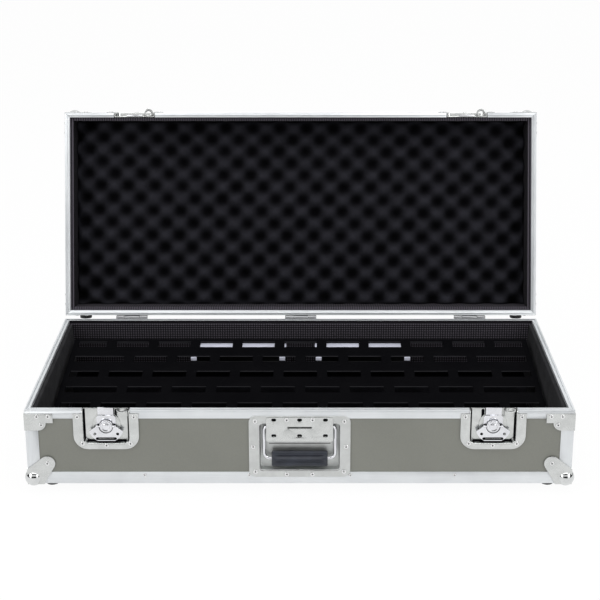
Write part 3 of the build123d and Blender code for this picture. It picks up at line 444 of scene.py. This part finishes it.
finishes |= {
    "laminate": laminateFinish("laminate", baseTurn),
    "laminateLid": laminateFinish("laminateLid", lidTurn),
    "aluminium": aluminiumFinish("aluminium", baseTurn),
    "aluminiumRim": aluminiumFinish("aluminiumRim", baseTurn, lined=True),
    "aluminiumUpright": aluminiumFinish("aluminiumUpright", baseTurn, upright=True),
    "aluminiumLid": aluminiumFinish("aluminiumLid", lidTurn),
    "aluminiumLidUpright": aluminiumFinish("aluminiumLidUpright", lidTurn, upright=True),
    "tray": paintFinish("tray", tone(200, 202, 216)),
    "liningFloor": liningFinish("liningFloor", baseTurn, "XY"),
    "liningWall": liningFinish("liningWall", baseTurn, "XZ"),
    "liningLid": liningFinish("liningLid", lidTurn, "XZ"),
    "foam": foamFinish("foam", tone(16, 16, 19), tone(40, 40, 45)),
    "lidFoam": foamFinish("lidFoam", tone(24, 24, 28), tone(42, 42, 48), lidTurn, foamFace - 3,
                          foamFace + 18),
    "sideFoam": foamFinish("sideFoam", tone(26, 26, 28), tone(56, 56, 58)),
    "coat": coatFinish("coat"),
    "rubber": rubberFinish("rubber", tone(26, 26, 27), 0.48),
    "grip": rubberFinish("grip", tone(30, 34, 44), 0.3),
}
print("finishes ready:", len(finishes))


def makePiece(name, points, faces):
    # vertices that coincide are merged, so that seams and poles are closed, and faces turn outwards
    mesh = bpy.data.meshes.new(name)
    mesh.from_pydata(np.asarray(points, float).reshape(-1, 3), [], faces)
    work = bmesh.new()
    work.from_mesh(mesh)
    bmesh.ops.remove_doubles(work, verts=work.verts, dist=1e-6)
    bmesh.ops.dissolve_degenerate(work, edges=work.edges, dist=1e-6)
    bmesh.ops.recalc_face_normals(work, faces=work.faces)
    work.to_mesh(mesh)
    work.free()
    mesh.shade_smooth()
    return addObject(name, mesh)


def addObject(name, content):
    made = bpy.data.objects.new(name, content)
    bpy.context.scene.collection.objects.link(made)
    return made


def settle(piece, finish, body, nodes=()):
    # a new piece's finish, the body that carries it, and the solids that it stands for
    piece.data.materials.append(finishes[finish])
    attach(piece, body)
    if nodes:
        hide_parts(*nodes)
    return piece


def gridFaces(rows, columns, closed, start=0):
    # quads of a rows x columns grid, closed round its columns or open
    across = columns if closed else columns - 1
    row, column = np.meshgrid(np.arange(rows - 1), np.arange(across), indexing="ij")
    after = (column + 1) % columns
    quads = [row * columns + column, row * columns + after, (row + 1) * columns + after,
             (row + 1) * columns + column]
    return (np.stack(quads, -1).reshape(-1, 4) + start).tolist()


def joined(parts):
    # grids of one size, each closed round its columns, as one list of points and faces;
    # parts is (count, rows, columns, 3)
    count, rows, columns = parts.shape[:3]
    faces = []
    for index in range(count):
        faces += gridFaces(rows, columns, True, index * rows * columns)
    return parts.reshape(-1, 3), faces


def softShading():
    # a geometry group that shades every face smooth, for solids whose own mesh stays as it is
    group = bpy.data.node_groups.new("softShading", "GeometryNodeTree")
    group.interface.new_socket("Geometry", in_out="INPUT", socket_type="NodeSocketGeometry")
    group.interface.new_socket("Geometry", in_out="OUTPUT", socket_type="NodeSocketGeometry")
    entry, smooth, leave = [group.nodes.new(kind) for kind in
                            ("NodeGroupInput", "GeometryNodeSetShadeSmooth", "NodeGroupOutput")]
    group.links.new(entry.outputs[0], smooth.inputs["Geometry"])
    group.links.new(smooth.outputs[0], leave.inputs[0])
    return group


softGroup = softShading()


def roundEdges(piece, width, segments=2, **settings):
    # a bevel along every sharp edge, its width in millimetres
    bevel = piece.modifiers.new("round", "BEVEL")
    bevel.width, bevel.segments, bevel.limit_method = width * mm, segments, "ANGLE"
    for key, value in settings.items():
        setattr(bevel, key, value)


def dress(nodes, finish, width):
    # a CAD solid's finish; modifiers weld its triangles, shade them smooth and round the edges
    for node in nodes.split():
        piece = frame["nodes"][node]
        for slot in piece.material_slots:
            slot.material = finishes[finish]
        if width:
            piece.modifiers.new("weld", "WELD").merge_threshold = 0.00001
            piece.modifiers.new("shade", "NODES").node_group = softGroup
            roundEdges(piece, width, angle_limit=math.radians(28), use_clamp_overlap=True,
                       miter_outer="MITER_ARC", harden_normals=True)


dress("base_bottom_panel base_front_panel base_back_panel base_side_panels", "laminate", 0)
dress("lid_top_panel lid_front_panel lid_back_panel lid_side_panels", "laminateLid", 0)
dress("base_rim_profile", "aluminiumRim", 0.35)
dress("base_bottom_angles", "aluminium", 0.35)
dress("base_corner_angles", "aluminiumUpright", 0.35)
dress("lid_rim_profile lid_top_angles", "aluminiumLid", 0.35)
dress("lid_corner_angles", "aluminiumLidUpright", 0.35)
dress("base_ball_corners base_brace_corners lid_ball_corners lid_brace_corners", "zinc", 0.3)
dress("handle_cover", "cover", 0.3)
dress("left_latch_wing right_latch_wing", "wing", 0.3)
dress("handle_bearings", "zinc", 0.3)
dress("hinge_base_leaves hinge_lid_leaves hinge_pins", "hinge", 0.3)
dress("left_latch_plate right_latch_plate base_padlock_tabs lid_padlock_tabs hook_pins", "zinc", 0.2)
dress("left_latch_hub right_latch_hub", "chrome", 0.3)
dress("left_latch_hook right_latch_hook", "chrome", 0.25)
dress("left_keeper right_keeper", "keeper", 0.25)
dress("handle_bail", "chrome", 0)
dress("pedal_board board_rails", "coat", 0.4)
dress("power_trays", "tray", 0.3)
print("CAD pieces dressed")


eggCrate = {"pitch": 54.6, "rows": 24.7, "amplitude": 18.0, "step": 2.3, "start": (-24.5, 0.6),
            "lean": 0.0124, "skew": -0.052, "sharpness": 1.25, "swell": 0.05, "edgeLoss": 0.12,
            "edgeReach": 2.0, "deepest": 1.15}


def slowWave(height, along, length, start=0.0):
    return height * np.sin(along / length + start)


def eggCrateFoam(crate):
    # height = full depth less an amplitude times (1 + cos(2 pi u / pitch) cos(pi v / rows)) / 2, with
    # slow waves that make the rows uneven; the four sides go straight back and one face closes the back
    low, high = nodeBox("lid_foam", shut)
    counts = [int(length / mm / crate["step"]) + 1 for length in (high - low)[:2]]
    across, along = [np.linspace(low[axis], high[axis], counts[axis]) for axis in (0, 1)]
    u, v = np.meshgrid(across, along)
    vv = v / mm + middleY - crate["start"][1] - crate["lean"] * u / mm
    uu = u / mm - crate["start"][0] - crate["skew"] * vv
    warpU = uu + slowWave(0.9, vv, 61, 0.7) + slowWave(0.7, uu, 83)
    warpV = vv + slowWave(0.8, uu, 97) + slowWave(0.5, vv, 53, 1.9)
    waves = np.cos(2 * np.pi * warpU / crate["pitch"]) * np.cos(np.pi * warpV / crate["rows"])
    hollow = ((1 + waves) / 2) ** crate["sharpness"]
    hollow = hollow * (1 + slowWave(crate["swell"], uu / 37 + vv / 29, 1))
    edge = np.minimum(np.minimum(u - low[0], high[0] - u), np.minimum(v - low[1], high[1] - v)) / mm
    hollow = hollow + crate["edgeLoss"] * np.exp(-edge / crate["edgeReach"])
    z = low[2] + crate["amplitude"] * mm * np.clip(hollow, 0, crate["deepest"])
    rows, columns = u.shape
    front = np.stack([u, v, z], -1).reshape(-1, 3)
    ring = np.concatenate([np.arange(columns), np.arange(1, rows) * columns + columns - 1,
                           (rows - 1) * columns + np.arange(columns - 2, -1, -1),
                           np.arange(rows - 2, 0, -1) * columns])
    back = front[ring].copy()
    back[:, 2] = high[2]
    count, start = len(ring), rows * columns
    after = np.roll(np.arange(count), -1)
    sides = np.stack([ring, ring[after], start + after, start + np.arange(count)], -1).tolist()
    faces = gridFaces(rows, columns, False) + sides + [(start + np.arange(count)).tolist()]
    return makePiece("eggCrateFoam", swung(np.concatenate([front, back])), faces)


lidFoam = settle(eggCrateFoam(eggCrate), "lidFoam", "lid", ["lid_foam"])
print("lid foam made")


def lathe(profile, count):
    # a profile of (radius, height) turned about its own axis, as a (rows, count, 3) grid
    radius, height = np.asarray(profile, float).T
    angle = np.linspace(0, 2 * np.pi, count, endpoint=False)
    return np.stack([radius[:, None] * np.cos(angle), radius[:, None] * np.sin(angle),
                     height[:, None] + angle * 0], -1)


def stood(grid, places, normals):
    # copies of a grid with their axis turned to each normal and their foot on each place
    normals = np.asarray(normals, float)
    helper = np.where(abs(normals[:, 2:]) > 0.9, [[1.0, 0, 0]], [[0, 0, 1.0]])
    side = np.cross(helper, normals)
    side /= np.linalg.norm(side, axis=1, keepdims=True)
    other = np.cross(normals, side)
    axes = np.stack([side, other, normals], 1)
    return np.einsum("rck,nkd->nrcd", grid, axes) + np.asarray(places, float)[:, None, None, :]


press = {"sheet": 1.2, "lip": 2.35, "rim": 0.9, "edge": 0.6, "mouth": 1.8, "foot": 1.6, "draft": 0.5,
         "near": 6.5, "leastCorner": 0.8}


def pressRings(look, side, far, depth, outerCorner, pocketCorner):
    # the rings of a pressed dish from the middle of its back, out round the flange's rolled edge and in
    # over the mouth's quarter round to the middle of its floor; each ring is (inset at the sides, inset
    # at the far end, corner radius, depth, whether it starts at the parting line)
    a = np.linspace(0, np.pi / 2, 6)
    sheet, foot, mouth, edge, rim = [look[key] for key in ("sheet", "foot", "mouth", "edge", "rim")]
    middle, back = side + look["draft"] + foot, depth + sheet
    wall = side + look["draft"] - sheet
    inner = [(middle, back, 1)]
    inner += [(wall + foot * (1 - math.cos(b)), back - foot * (1 - math.sin(b)), 1) for b in (0.9, 0)]
    inner += [(side - sheet, sheet + edge, 1), (side - mouth, sheet, 1)]
    flange = [(side - mouth, sheet, 0), (rim, sheet, 0), (rim, look["lip"], 0), (0, look["lip"], 0),
              (0, edge, 0), (edge * 0.3, edge * 0.3, 0), (edge, 0, 0), (side - mouth, 0, 0)]
    over = [(side - mouth * (1 - math.sin(b)), mouth * (1 - math.cos(b)), 1) for b in a]
    floor = [(middle - foot * math.cos(b), depth - foot * (1 - math.sin(b)), 1) for b in a]
    inset, deep, inPocket = np.array(inner + flange + over + floor).T
    outside = inset < side / 2
    pocket = np.maximum(pocketCorner + side - inset, look["leastCorner"])
    corner = np.where(outside, outerCorner - inset, pocket)
    return inset, np.where(outside, inset, inset - side + far), corner, deep, inPocket


def openPress(look, width, drop, pocketWidth, pocketDrop, depth, corner, pocketCorner):
    # each ring is a U of straight sides and two quarter circles, x = -+(w - c(1 - cos a)),
    # d = f - c(1 - sin a); the first and last ring fall onto the middle line, and flat caps close both
    # ends at the parting line
    inset, far, radius, deep, inPocket = pressRings(look, (width - pocketWidth) / 2, drop - pocketDrop,
                                                    depth, corner, pocketCorner)
    w, f, c = width / 2 - inset[:, None], drop - far[:, None], radius[:, None]
    start = np.where(inPocket > 0, 0, look["near"])[:, None]
    a = np.linspace(0, np.pi / 2, 10)
    x = -w + c * (1 - np.cos(a))
    d = f - c * (1 - np.sin(a))
    straight = np.concatenate([start, start * 0 + look["near"], (look["near"] + d[:, :1]) / 2], 1)
    x = np.concatenate([straight * 0 - w, x], 1)
    d = np.concatenate([straight, d], 1)
    x, d = np.concatenate([x, -x[:, ::-1]], 1), np.concatenate([d, d[:, ::-1]], 1)
    x, d = np.concatenate([x[:1] * 0, x, x[:1] * 0]), np.concatenate([d[:1], d, d[-1:]])
    deep = np.concatenate([deep[:1], deep, deep[-1:]])[:, None] + x * 0
    rows, columns = x.shape
    flange = [row + 1 for row in range(rows - 2) if not inPocket[row]]
    first, last = flange[0], flange[-1]
    rest = list(range(last + 1, rows)) + list(range(first))
    faces = gridFaces(rows, columns, False)
    for column in (0, columns - 1):
        faces += [[row * columns + column for row in flange], [row * columns + column for row in rest],
                  [row * columns + column for row in (first - 1, first, last, last + 1)]]
    return x, deep, d, faces


def closedPress(look, width, height, pocketWidth, pocketHeight, depth, shift, corner, pocketCorner):
    # each ring is a rounded rectangle of four quarter circles; the pocket's rings stand lower by
    # the shift
    inset, tall, radius, deep, inPocket = pressRings(look, (width - pocketWidth) / 2,
                                                     (height - pocketHeight) / 2, depth, corner,
                                                     pocketCorner)
    w, h, c = width / 2 - inset[:, None], height / 2 - tall[:, None], radius[:, None]
    a = np.linspace(0, np.pi / 2, 8)
    quarter = np.concatenate([a, a + np.pi / 2, a + np.pi, a + 1.5 * np.pi])
    x = np.repeat([1, -1, -1, 1], 8) * (w - c) + c * np.cos(quarter)
    z = np.repeat([1, 1, -1, -1], 8) * (h - c) + c * np.sin(quarter) - shift * inPocket[:, None]
    reach = (pocketWidth - pocketHeight) / 2
    middle = np.clip(x[-1:], -reach, reach), x[-1:] * 0 - shift
    x, z = np.concatenate([middle[0], x, middle[0]]), np.concatenate([middle[1], z, middle[1]])
    deep = np.concatenate([deep[:1], deep, deep[-1:]])[:, None] + x * 0
    return x, deep, z, gridFaces(*x.shape, True)


def addPress(name, x, deep, z, faces, middle, node, body, back, finish="latchDish"):
    points = placed(np.stack([x + middle, deep + plateFront, z], -1).reshape(-1, 3))
    piece = makePiece(name, back(points), faces)
    piece.modifiers.new("flats", "WEIGHTED_NORMAL").keep_sharp = True
    settle(piece, finish, body, [node])


dishes = {"width": 112, "pocketWidth": 78, "depth": 9, "corner": 25, "pocketCorner": 10}
drops = {"LatchDish": (73.5, 62), "KeeperDish": (46, 34)}  # of the flange and of its pocket
for side, name in ((-1, "left"), (1, "right")):
    for kind, edge, way, node, body, back in (
            ("LatchDish", parting, -1, "_latch_dish", "base", stay),
            ("KeeperDish", lidParting, 1, "_keeper_dish", "lid", swung)):
        drop, pocketDrop = drops[kind]
        x, deep, d, faces = openPress(press, dishes["width"], drop, dishes["pocketWidth"], pocketDrop,
                                      dishes["depth"], dishes["corner"], dishes["pocketCorner"])
        addPress(name + kind, x, deep, edge + way * d, faces, side * case["latchX"], name + node, body,
                 back)
handleDish = {"width": 174, "height": 115, "pocketWidth": 137, "pocketHeight": 87, "depth": 13.2,
              "low": 13.3, "corner": 12, "pocketCorner": 6}
low, high = nodeBox("handle_dish")
shift = (handleDish["height"] - handleDish["pocketHeight"]) / 2 - handleDish["low"]
x, deep, z, faces = closedPress(press, handleDish["width"], handleDish["height"],
                                handleDish["pocketWidth"], handleDish["pocketHeight"],
                                handleDish["depth"], shift, handleDish["corner"],
                                handleDish["pocketCorner"])
addPress("handleDish", x, deep, z + (low[2] + high[2]) / 2 / mm, faces, 0, "handle_dish", "base", stay,
         "handleDish")
print("dishes pressed")


rivet = {"radius": 4.2, "height": 1.1, "dimple": 1.3, "small": 3.0}
toFront = (0, -1, 0)


def rivetProfile(radius, height, dimple):
    # a low dome with a rolled edge and a deep punched dimple in the middle; closed underneath
    return [(0, -0.2), (radius, -0.2), (radius, height * 0.25), (radius * 0.93, height * 0.6),
            (radius * 0.72, height * 0.92), (dimple + 0.5, height), (dimple, height * 0.9),
            (dimple * 0.9, height * 0.1), (0, 0)]


def headsOf(node, place):
    # the middle of each CAD rivet head's foot, in the upright frame, and the way it faces
    parts = nodeParts(node, place)
    return [(((low[0] + high[0]) / 2, high[1], (low[2] + high[2]) / 2), toFront) for low, high in parts]


def rivets(name, heads, body, radius, back=stay, nodes=()):
    # heads are (place in metres, way it faces)
    places, normals = zip(*heads)
    dimple = rivet["dimple"] * radius / rivet["radius"]
    grid = lathe(rivetProfile(radius, rivet["height"], dimple), 20) * mm
    points, faces = joined(stood(grid, places, normals))
    settle(makePiece(name, back(points), faces), "rivetZinc", body, nodes)


rivets("latchDishRivets", headsOf("latch_rivets", stay), "base", rivet["radius"], stay,
       ["latch_rivets"])
rivets("keeperDishRivets", headsOf("keeper_rivets", shut), "lid", rivet["radius"], swung,
       ["keeper_rivets"])
rivets("handleDishRivets", headsOf("handle_rivets", stay), "base", rivet["radius"], stay,
       ["handle_rivets"])

corners = {"braceRivets": [(21, 12), (40, 12)], "lobeRivet": (28, 27.5), "ballLobe": (34.6, 38.6),
           "angleRivets": (-267, -87, 87, 267), "endRivets": (-100, 100), "angleDrop": 16}
sides = [(sx, sy) for sx in (-1, 1) for sy in (-1, 1)]


def cornerRivets(edge, out, outer, braceSet, lobes):
    # (place, normal) pairs on the front, rear and end faces, about the middle of the base
    found = []
    reach, deep = halfWidth + case["plate"], halfDepth + case["plate"]
    lobeU, lobeV = corners["ballLobe"]
    for sx, sy in sides:
        for u, v in braceSet:
            found.append(((sx * (halfWidth - u), sy * deep, edge + out * v), (0, sy, 0)))
            found.append(((sx * reach, sy * (halfDepth - u), edge + out * v), (sx, 0, 0)))
        if sy < 0 or lobes:
            found.append(((sx * (halfWidth - lobeU), sy * deep, outer - out * lobeV), (0, sy, 0)))
        found.append(((sx * reach, sy * (halfDepth - lobeU), outer - out * lobeV), (sx, 0, 0)))
    return found


def angleRivets(height):
    long = [((x, side * halfDepth, height), (0, side, 0))
            for x in corners["angleRivets"] for side in (-1, 1)]
    ends = [((side * halfWidth, y, height), (side, 0, 0))
            for y in corners["endRivets"] for side in (-1, 1)]
    return long + ends


def inMetres(found):
    return [(placed(place), normal) for place, normal in found]


braces = corners["braceRivets"]
baseSet = cornerRivets(parting, -1, case["foot"], braces + [corners["lobeRivet"]], False)
lidSet = cornerRivets(lidParting, 1, lidTop, braces, False)
lobeX, lobeY = halfWidth - corners["ballLobe"][0], halfDepth - corners["ballLobe"][1]
lidSet += [((sx * lobeX, sy * lobeY, lidTop + case["plate"]), (0, 0, 1)) for sx, sy in sides]
rivets("baseCornerRivets", inMetres(baseSet), "base", rivet["radius"])
rivets("lidCornerRivets", inMetres(lidSet), "lid", rivet["radius"], swung)
rivets("baseAngleRivets", inMetres(angleRivets(case["foot"] + corners["angleDrop"])), "base",
       rivet["small"])
rivets("lidAngleRivets", inMetres(angleRivets(lidTop - corners["angleDrop"])), "lid", rivet["small"],
       swung)
print("rivets set")


# the polished ball in each outer corner, a whole sphere sunk in the case
ball = {"radius": 15.6, "inset": 8.6}
turnings = np.linspace(0, np.pi, 25)
ballProfile = np.stack([ball["radius"] * np.sin(turnings), -ball["radius"] * np.cos(turnings)], -1)
for name, height, body, back in (("baseBalls", case["foot"] + ball["inset"], "base", stay),
                                 ("lidBalls", lidTop - ball["inset"], "lid", swung)):
    reachX, reachY = halfWidth - ball["inset"], halfDepth - ball["inset"]
    centres = placed([(sx * reachX, sy * reachY, height) for sx, sy in sides])
    points, faces = joined(stood(lathe(ballProfile, 40) * mm, centres, [(0, 0, 1)] * 4))
    settle(makePiece(name, back(points), faces), "ball", body)
print("balls set")


# the stepped cap on each latch's hub, (radius, height) in millimetres
hubCap = [(0, -0.2), (10, -0.2), (10, 0.4), (9.4, 0.8), (7.6, 0.8), (7.0, 0.1), (6.2, 0.1), (5.6, 0.9),
          (3, 1.3), (0, 1.4)]
for side in ("left", "right"):
    low, high = nodeBox(side + "_latch_hub")
    front = [((low[0] + high[0]) / 2, low[1], (low[2] + high[2]) / 2)]
    points, faces = joined(stood(lathe(hubCap, 36) * mm, front, [toFront]))
    settle(makePiece(side + "HubCap", points, faces), "hubCap", side + "_hub")
print("hub caps set")


grip = {"ridges": 2.7, "ridge": 2.0, "spread": 0.75, "fade": 7, "corner": 2.5, "power": 2.3,
        "bore": 3.05, "height": 29, "thick": 11, "sides": 120}


def handleGrip(look):
    # superellipse |y/a|^p + |z/b|^p = 1 carried along X, drawn in at both ends by a quarter circle,
    # with long ridges that swell and fade round the section; the bore closes the surface back to its
    # start
    low, high = nodeBox("handle_grip")
    middle, half = (low + high) / 2 / mm, (high - low) / 2 / mm
    forward = half[1] - look["thick"] / 2
    half[1], half[2] = look["thick"] / 2, look["height"] / 2
    corner = look["corner"]
    t = np.concatenate([np.linspace(0, 1, 9) ** 1.6 * corner, np.linspace(corner, half[0], 16)[1:]])
    t = np.concatenate([t, 2 * half[0] - t[::-1][1:]])
    end = np.minimum(t, 2 * half[0] - t)
    rounding = corner - np.sqrt(np.maximum(0, corner ** 2 - (corner - end) ** 2))
    draw = np.where(end < corner, rounding, 0)[:, None]
    angle = np.linspace(0, 2 * np.pi, look["sides"], endpoint=False)
    c, s = np.cos(angle), np.sin(angle)
    fade = np.clip((end - corner) / look["fade"], 0, 1)[:, None]
    z = np.sign(s) * abs(s) ** (2 / look["power"])
    y = np.sign(c) * abs(c) ** (2 / look["power"])
    swell = np.exp(-(z / look["spread"]) ** 6) * fade
    ridge = look["ridge"] * (np.cos(np.pi * look["ridges"] * z) - 1) * swell
    yy = (half[1] - draw * 0.8 + ridge) * y
    zz = (half[2] - draw) * z
    outer = np.stack([t[:, None] - half[0] + angle * 0, yy - forward, zz], -1) + middle
    bore = np.stack([t[::-1, None] - half[0] + angle * 0, look["bore"] * c + t[:, None] * 0,
                     look["bore"] * s + t[:, None] * 0], -1) + middle
    points = np.concatenate([outer, bore, outer[:1]]) * mm
    return makePiece("handleGrip", points, gridFaces(len(points), look["sides"], True))


settle(handleGrip(grip), "grip", "handle", ["handle_grip"])


def footProfile(wide, taper, height, hollow, depth):
    # a tapered foot with a rounded tread and a screw hollow in it, measured up from the case
    narrow = wide - taper
    return [(0, 0), (wide, 0), (wide, 1.2), ((wide + narrow) / 2, height * 0.5), (narrow, height - 1.5),
            (narrow - 0.5, height - 0.5), (narrow - 1.6, height), (hollow + 1, height),
            (hollow, height - 0.8), (hollow - 0.5, height - depth), (0, height - depth)]


def feet(name, node, body, normal, place, back, taper, hollow, depth):
    # each foot's axis is its normal, and its wide end lies on the case
    axis = int(np.argmax(np.abs(normal)))
    found = nodeParts(node, place)
    centres = []
    for low, high in found:
        centre = (low + high) / 2
        centre[axis] = (low if normal[axis] > 0 else high)[axis]
        centres.append(centre)
    size = (found[0][1] - found[0][0]) / mm
    profile = footProfile(max(size) / 2, taper, size[axis], hollow, depth)
    points, faces = joined(stood(lathe(profile, 40) * mm, centres, [normal] * len(centres)))
    piece = settle(makePiece(name, back(points), faces), "rubber", body, [node])
    roundEdges(piece, 0.3)


feet("bottomFeet", "bottom_feet", "base", (0, 0, -1), stay, stay, 0.52, 4.5, 5)
feet("baseRearFeet", "base_rear_feet", "base", (0, 1, 0), stay, stay, 0.31, 4, 3.5)
feet("lidRearFeet", "lid_rear_feet", "lid", (0, 1, 0), shut, swung, 0.31, 4, 3.5)
print("grip and feet made")


coil = {"turns": 9, "wire": 0.52, "sides": 10, "steps": 26}


def springs(look):
    # helix (x, r cos a, r sin a) swept by a small circle, its ends closed to a point
    parts = []
    for low, high in nodeParts("handle_springs"):
        middle = (low + high) / 2 / mm
        reach = (high - low)[0] / 2 / mm - look["wire"]
        radius = (high - low)[1] / 2 / mm - look["wire"]
        t = np.linspace(0, 1, look["turns"] * look["steps"])
        a = 2 * np.pi * look["turns"] * t
        line = np.stack([(2 * t - 1) * reach, radius * np.cos(a), radius * np.sin(a)], -1)
        out = np.stack([a * 0, np.cos(a), np.sin(a)], -1)
        ahead = np.gradient(line, axis=0)
        ahead /= np.linalg.norm(ahead, axis=1, keepdims=True)
        side = np.cross(ahead, out)
        b = np.linspace(0, 2 * np.pi, look["sides"], endpoint=False)
        size = look["wire"] * np.where((t > 0) & (t < 1), 1, 0)[:, None, None]
        turn = out[:, None] * np.cos(b)[:, None] + side[:, None] * np.sin(b)[:, None]
        ring = line[:, None] + size * turn
        parts.append((ring + middle) * mm)
    points, faces = joined(np.stack(parts))
    return makePiece("handleSprings", points, faces)


settle(springs(coil), "zinc", "base", ["handle_springs"])


def softCopy(name, node, finish, body, edge):
    # a soft board: the node's solid merged into clean faces, its edges rounded
    mesh = frame["nodes"][node].data.copy()
    mesh.name = name
    work = bmesh.new()
    work.from_mesh(mesh)
    bmesh.ops.remove_doubles(work, verts=work.verts, dist=1e-5)
    bmesh.ops.dissolve_limit(work, angle_limit=math.radians(0.5), verts=work.verts, edges=work.edges)
    bmesh.ops.recalc_face_normals(work, faces=work.faces)
    work.to_mesh(mesh)
    work.free()
    mesh.shade_smooth()
    mesh.materials.clear()
    piece = settle(addObject(name, mesh), finish, body, [node])
    roundEdges(piece, edge, 3, use_clamp_overlap=True, harden_normals=True)


softCopy("floorLining", "base_floor_liner", "liningFloor", "base", 1.2)
softCopy("wallLining", "base_wall_liners", "liningWall", "base", 1.0)
softCopy("lidLining", "lid_liner", "liningLid", "lid", 1.5)
softCopy("sideFoam", "side_foam", "sideFoam", "base", 2.0)
softCopy("boardRests", "board_rests", "foam", "base", 3.0)
softCopy("boardFeet", "board_feet", "rubber", "board", 1.2)
print("linings and foam made")


# studio: white floor and sky, soft lamps above and to both sides, dark flags that only gloss sees
studio = {"sky": 0.62, "floor": 0.9, "floorGlow": 0.96, "floorReach": 30}
lamps = {
    "topLight": {"place": (0, -0.6, 2.6), "aim": (0, 0.05, 0.1), "size": (3.2, 2.2), "power": 46},
    "leftLight": {"place": (-2.4, -1.9, 1.5), "aim": (0, 0, 0.15), "size": (1.6, 2.0), "power": 22},
    "rightLight": {"place": (2.4, -1.9, 1.5), "aim": (0, 0, 0.15), "size": (1.6, 2.0), "power": 22},
}
flags = {"leftFlag": [(-2.8, -2.5, 0.1), (-2.8, 1.5, 0.1), (-2.8, 1.5, 1.7), (-2.8, -2.5, 1.7)],
         "rightFlag": [(2.8, -2.5, 0.1), (2.8, 1.5, 0.1), (2.8, 1.5, 1.7), (2.8, -2.5, 1.7)],
         "frontFlag": [(-1.6, -3.2, 0.2), (1.6, -3.2, 0.2), (1.6, -3.2, 1.5), (-1.6, -3.2, 1.5)],
         "topFlag": [(-3, -3.0, 2.6), (3, -3.0, 2.6), (3, -1.5, 2.9), (-3, -1.5, 2.9)]}


def stageCard(name, corners, finish):
    mesh = bpy.data.meshes.new(name)
    mesh.from_pydata(corners, [], [(0, 1, 2, 3)])
    mesh.materials.append(finish.material)
    card = addObject(name, mesh)
    return card


def whiteFloor(look):
    # a pale matt floor that takes the object's shadow, shown white to the eye and to gloss
    level, reach = look["floor"], look["floorReach"]
    finish = Finish("studioFloor", Base_Color=(level, level, level, 1), Roughness=0.9)
    glow = finish.node("Emission", None, {"Strength": 1.0})
    lit = Wire(finish, finish.surface.outputs[0])
    blend = finish.node("MixShader", None, {0: finish.seen() * look["floorGlow"], 1: lit, 2: glow})
    finish.feed(finish.nodes["Material Output"].inputs["Surface"], blend)
    stageCard("studioFloor", [(-reach, -reach, 0), (reach, -reach, 0), (reach, reach, 0),
                              (-reach, reach, 0)], finish)


def skyWorld(look):
    # white to the eye and to gloss, and a lower level as light on the object
    world = bpy.data.worlds.new("studioSky")
    bpy.context.scene.world = world
    sky = Tree(world)
    back = sky.nodes["Background"]
    level = sky.node("MapRange", None, {"Value": sky.seen(), "To Min": look["sky"], "To Max": 1.0})
    sky.feed(back.inputs["Color"], (1, 1, 1, 1))
    sky.feed(back.inputs["Strength"], level)


def lamp(name, place, aim, size, power):
    light = bpy.data.lights.new(name, "AREA")
    light.shape, light.size, light.size_y, light.energy = "RECTANGLE", size[0], size[1], power
    item = addObject(name, light)
    item.location = place
    item.rotation_mode = "QUATERNION"
    item.rotation_quaternion = (Vector(aim) - Vector(place)).to_track_quat("-Z", "Y")


def flag(name, corners):
    # a black card that only glossy rays meet, so that it darkens reflections and nothing else
    card = stageCard(name, corners, Finish(name, Base_Color=(0.02, 0.02, 0.02, 1), Roughness=1.0))
    card.visible_camera = card.visible_diffuse = False
    card.visible_shadow = card.visible_transmission = False


whiteFloor(studio)
skyWorld(studio)
for name, look in lamps.items():
    lamp(name, **look)
for name, outline in flags.items():
    flag(name, outline)
print("studio lit")

view = {"pitch": 16.5, "point": (13.09, -2250.24, 1174.34), "lens": 79.67, "middle": (307.3, 178.4),
        "sensor": 36, "image": 600}
camera = addObject("camera", bpy.data.cameras.new("camera"))
bpy.context.scene.camera = camera
camera.location = placed(view["point"])
camera.rotation_euler = (math.radians(90 - view["pitch"]), 0, 0)
camera.data.sensor_width, camera.data.lens = view["sensor"], view["lens"]
camera.data.shift_x = (view["image"] / 2 - view["middle"][0]) / view["image"]
camera.data.shift_y = (view["middle"][1] - view["image"] / 2) / view["image"]
bpy.context.scene.view_settings.view_transform = "Standard"

print("scene ready")
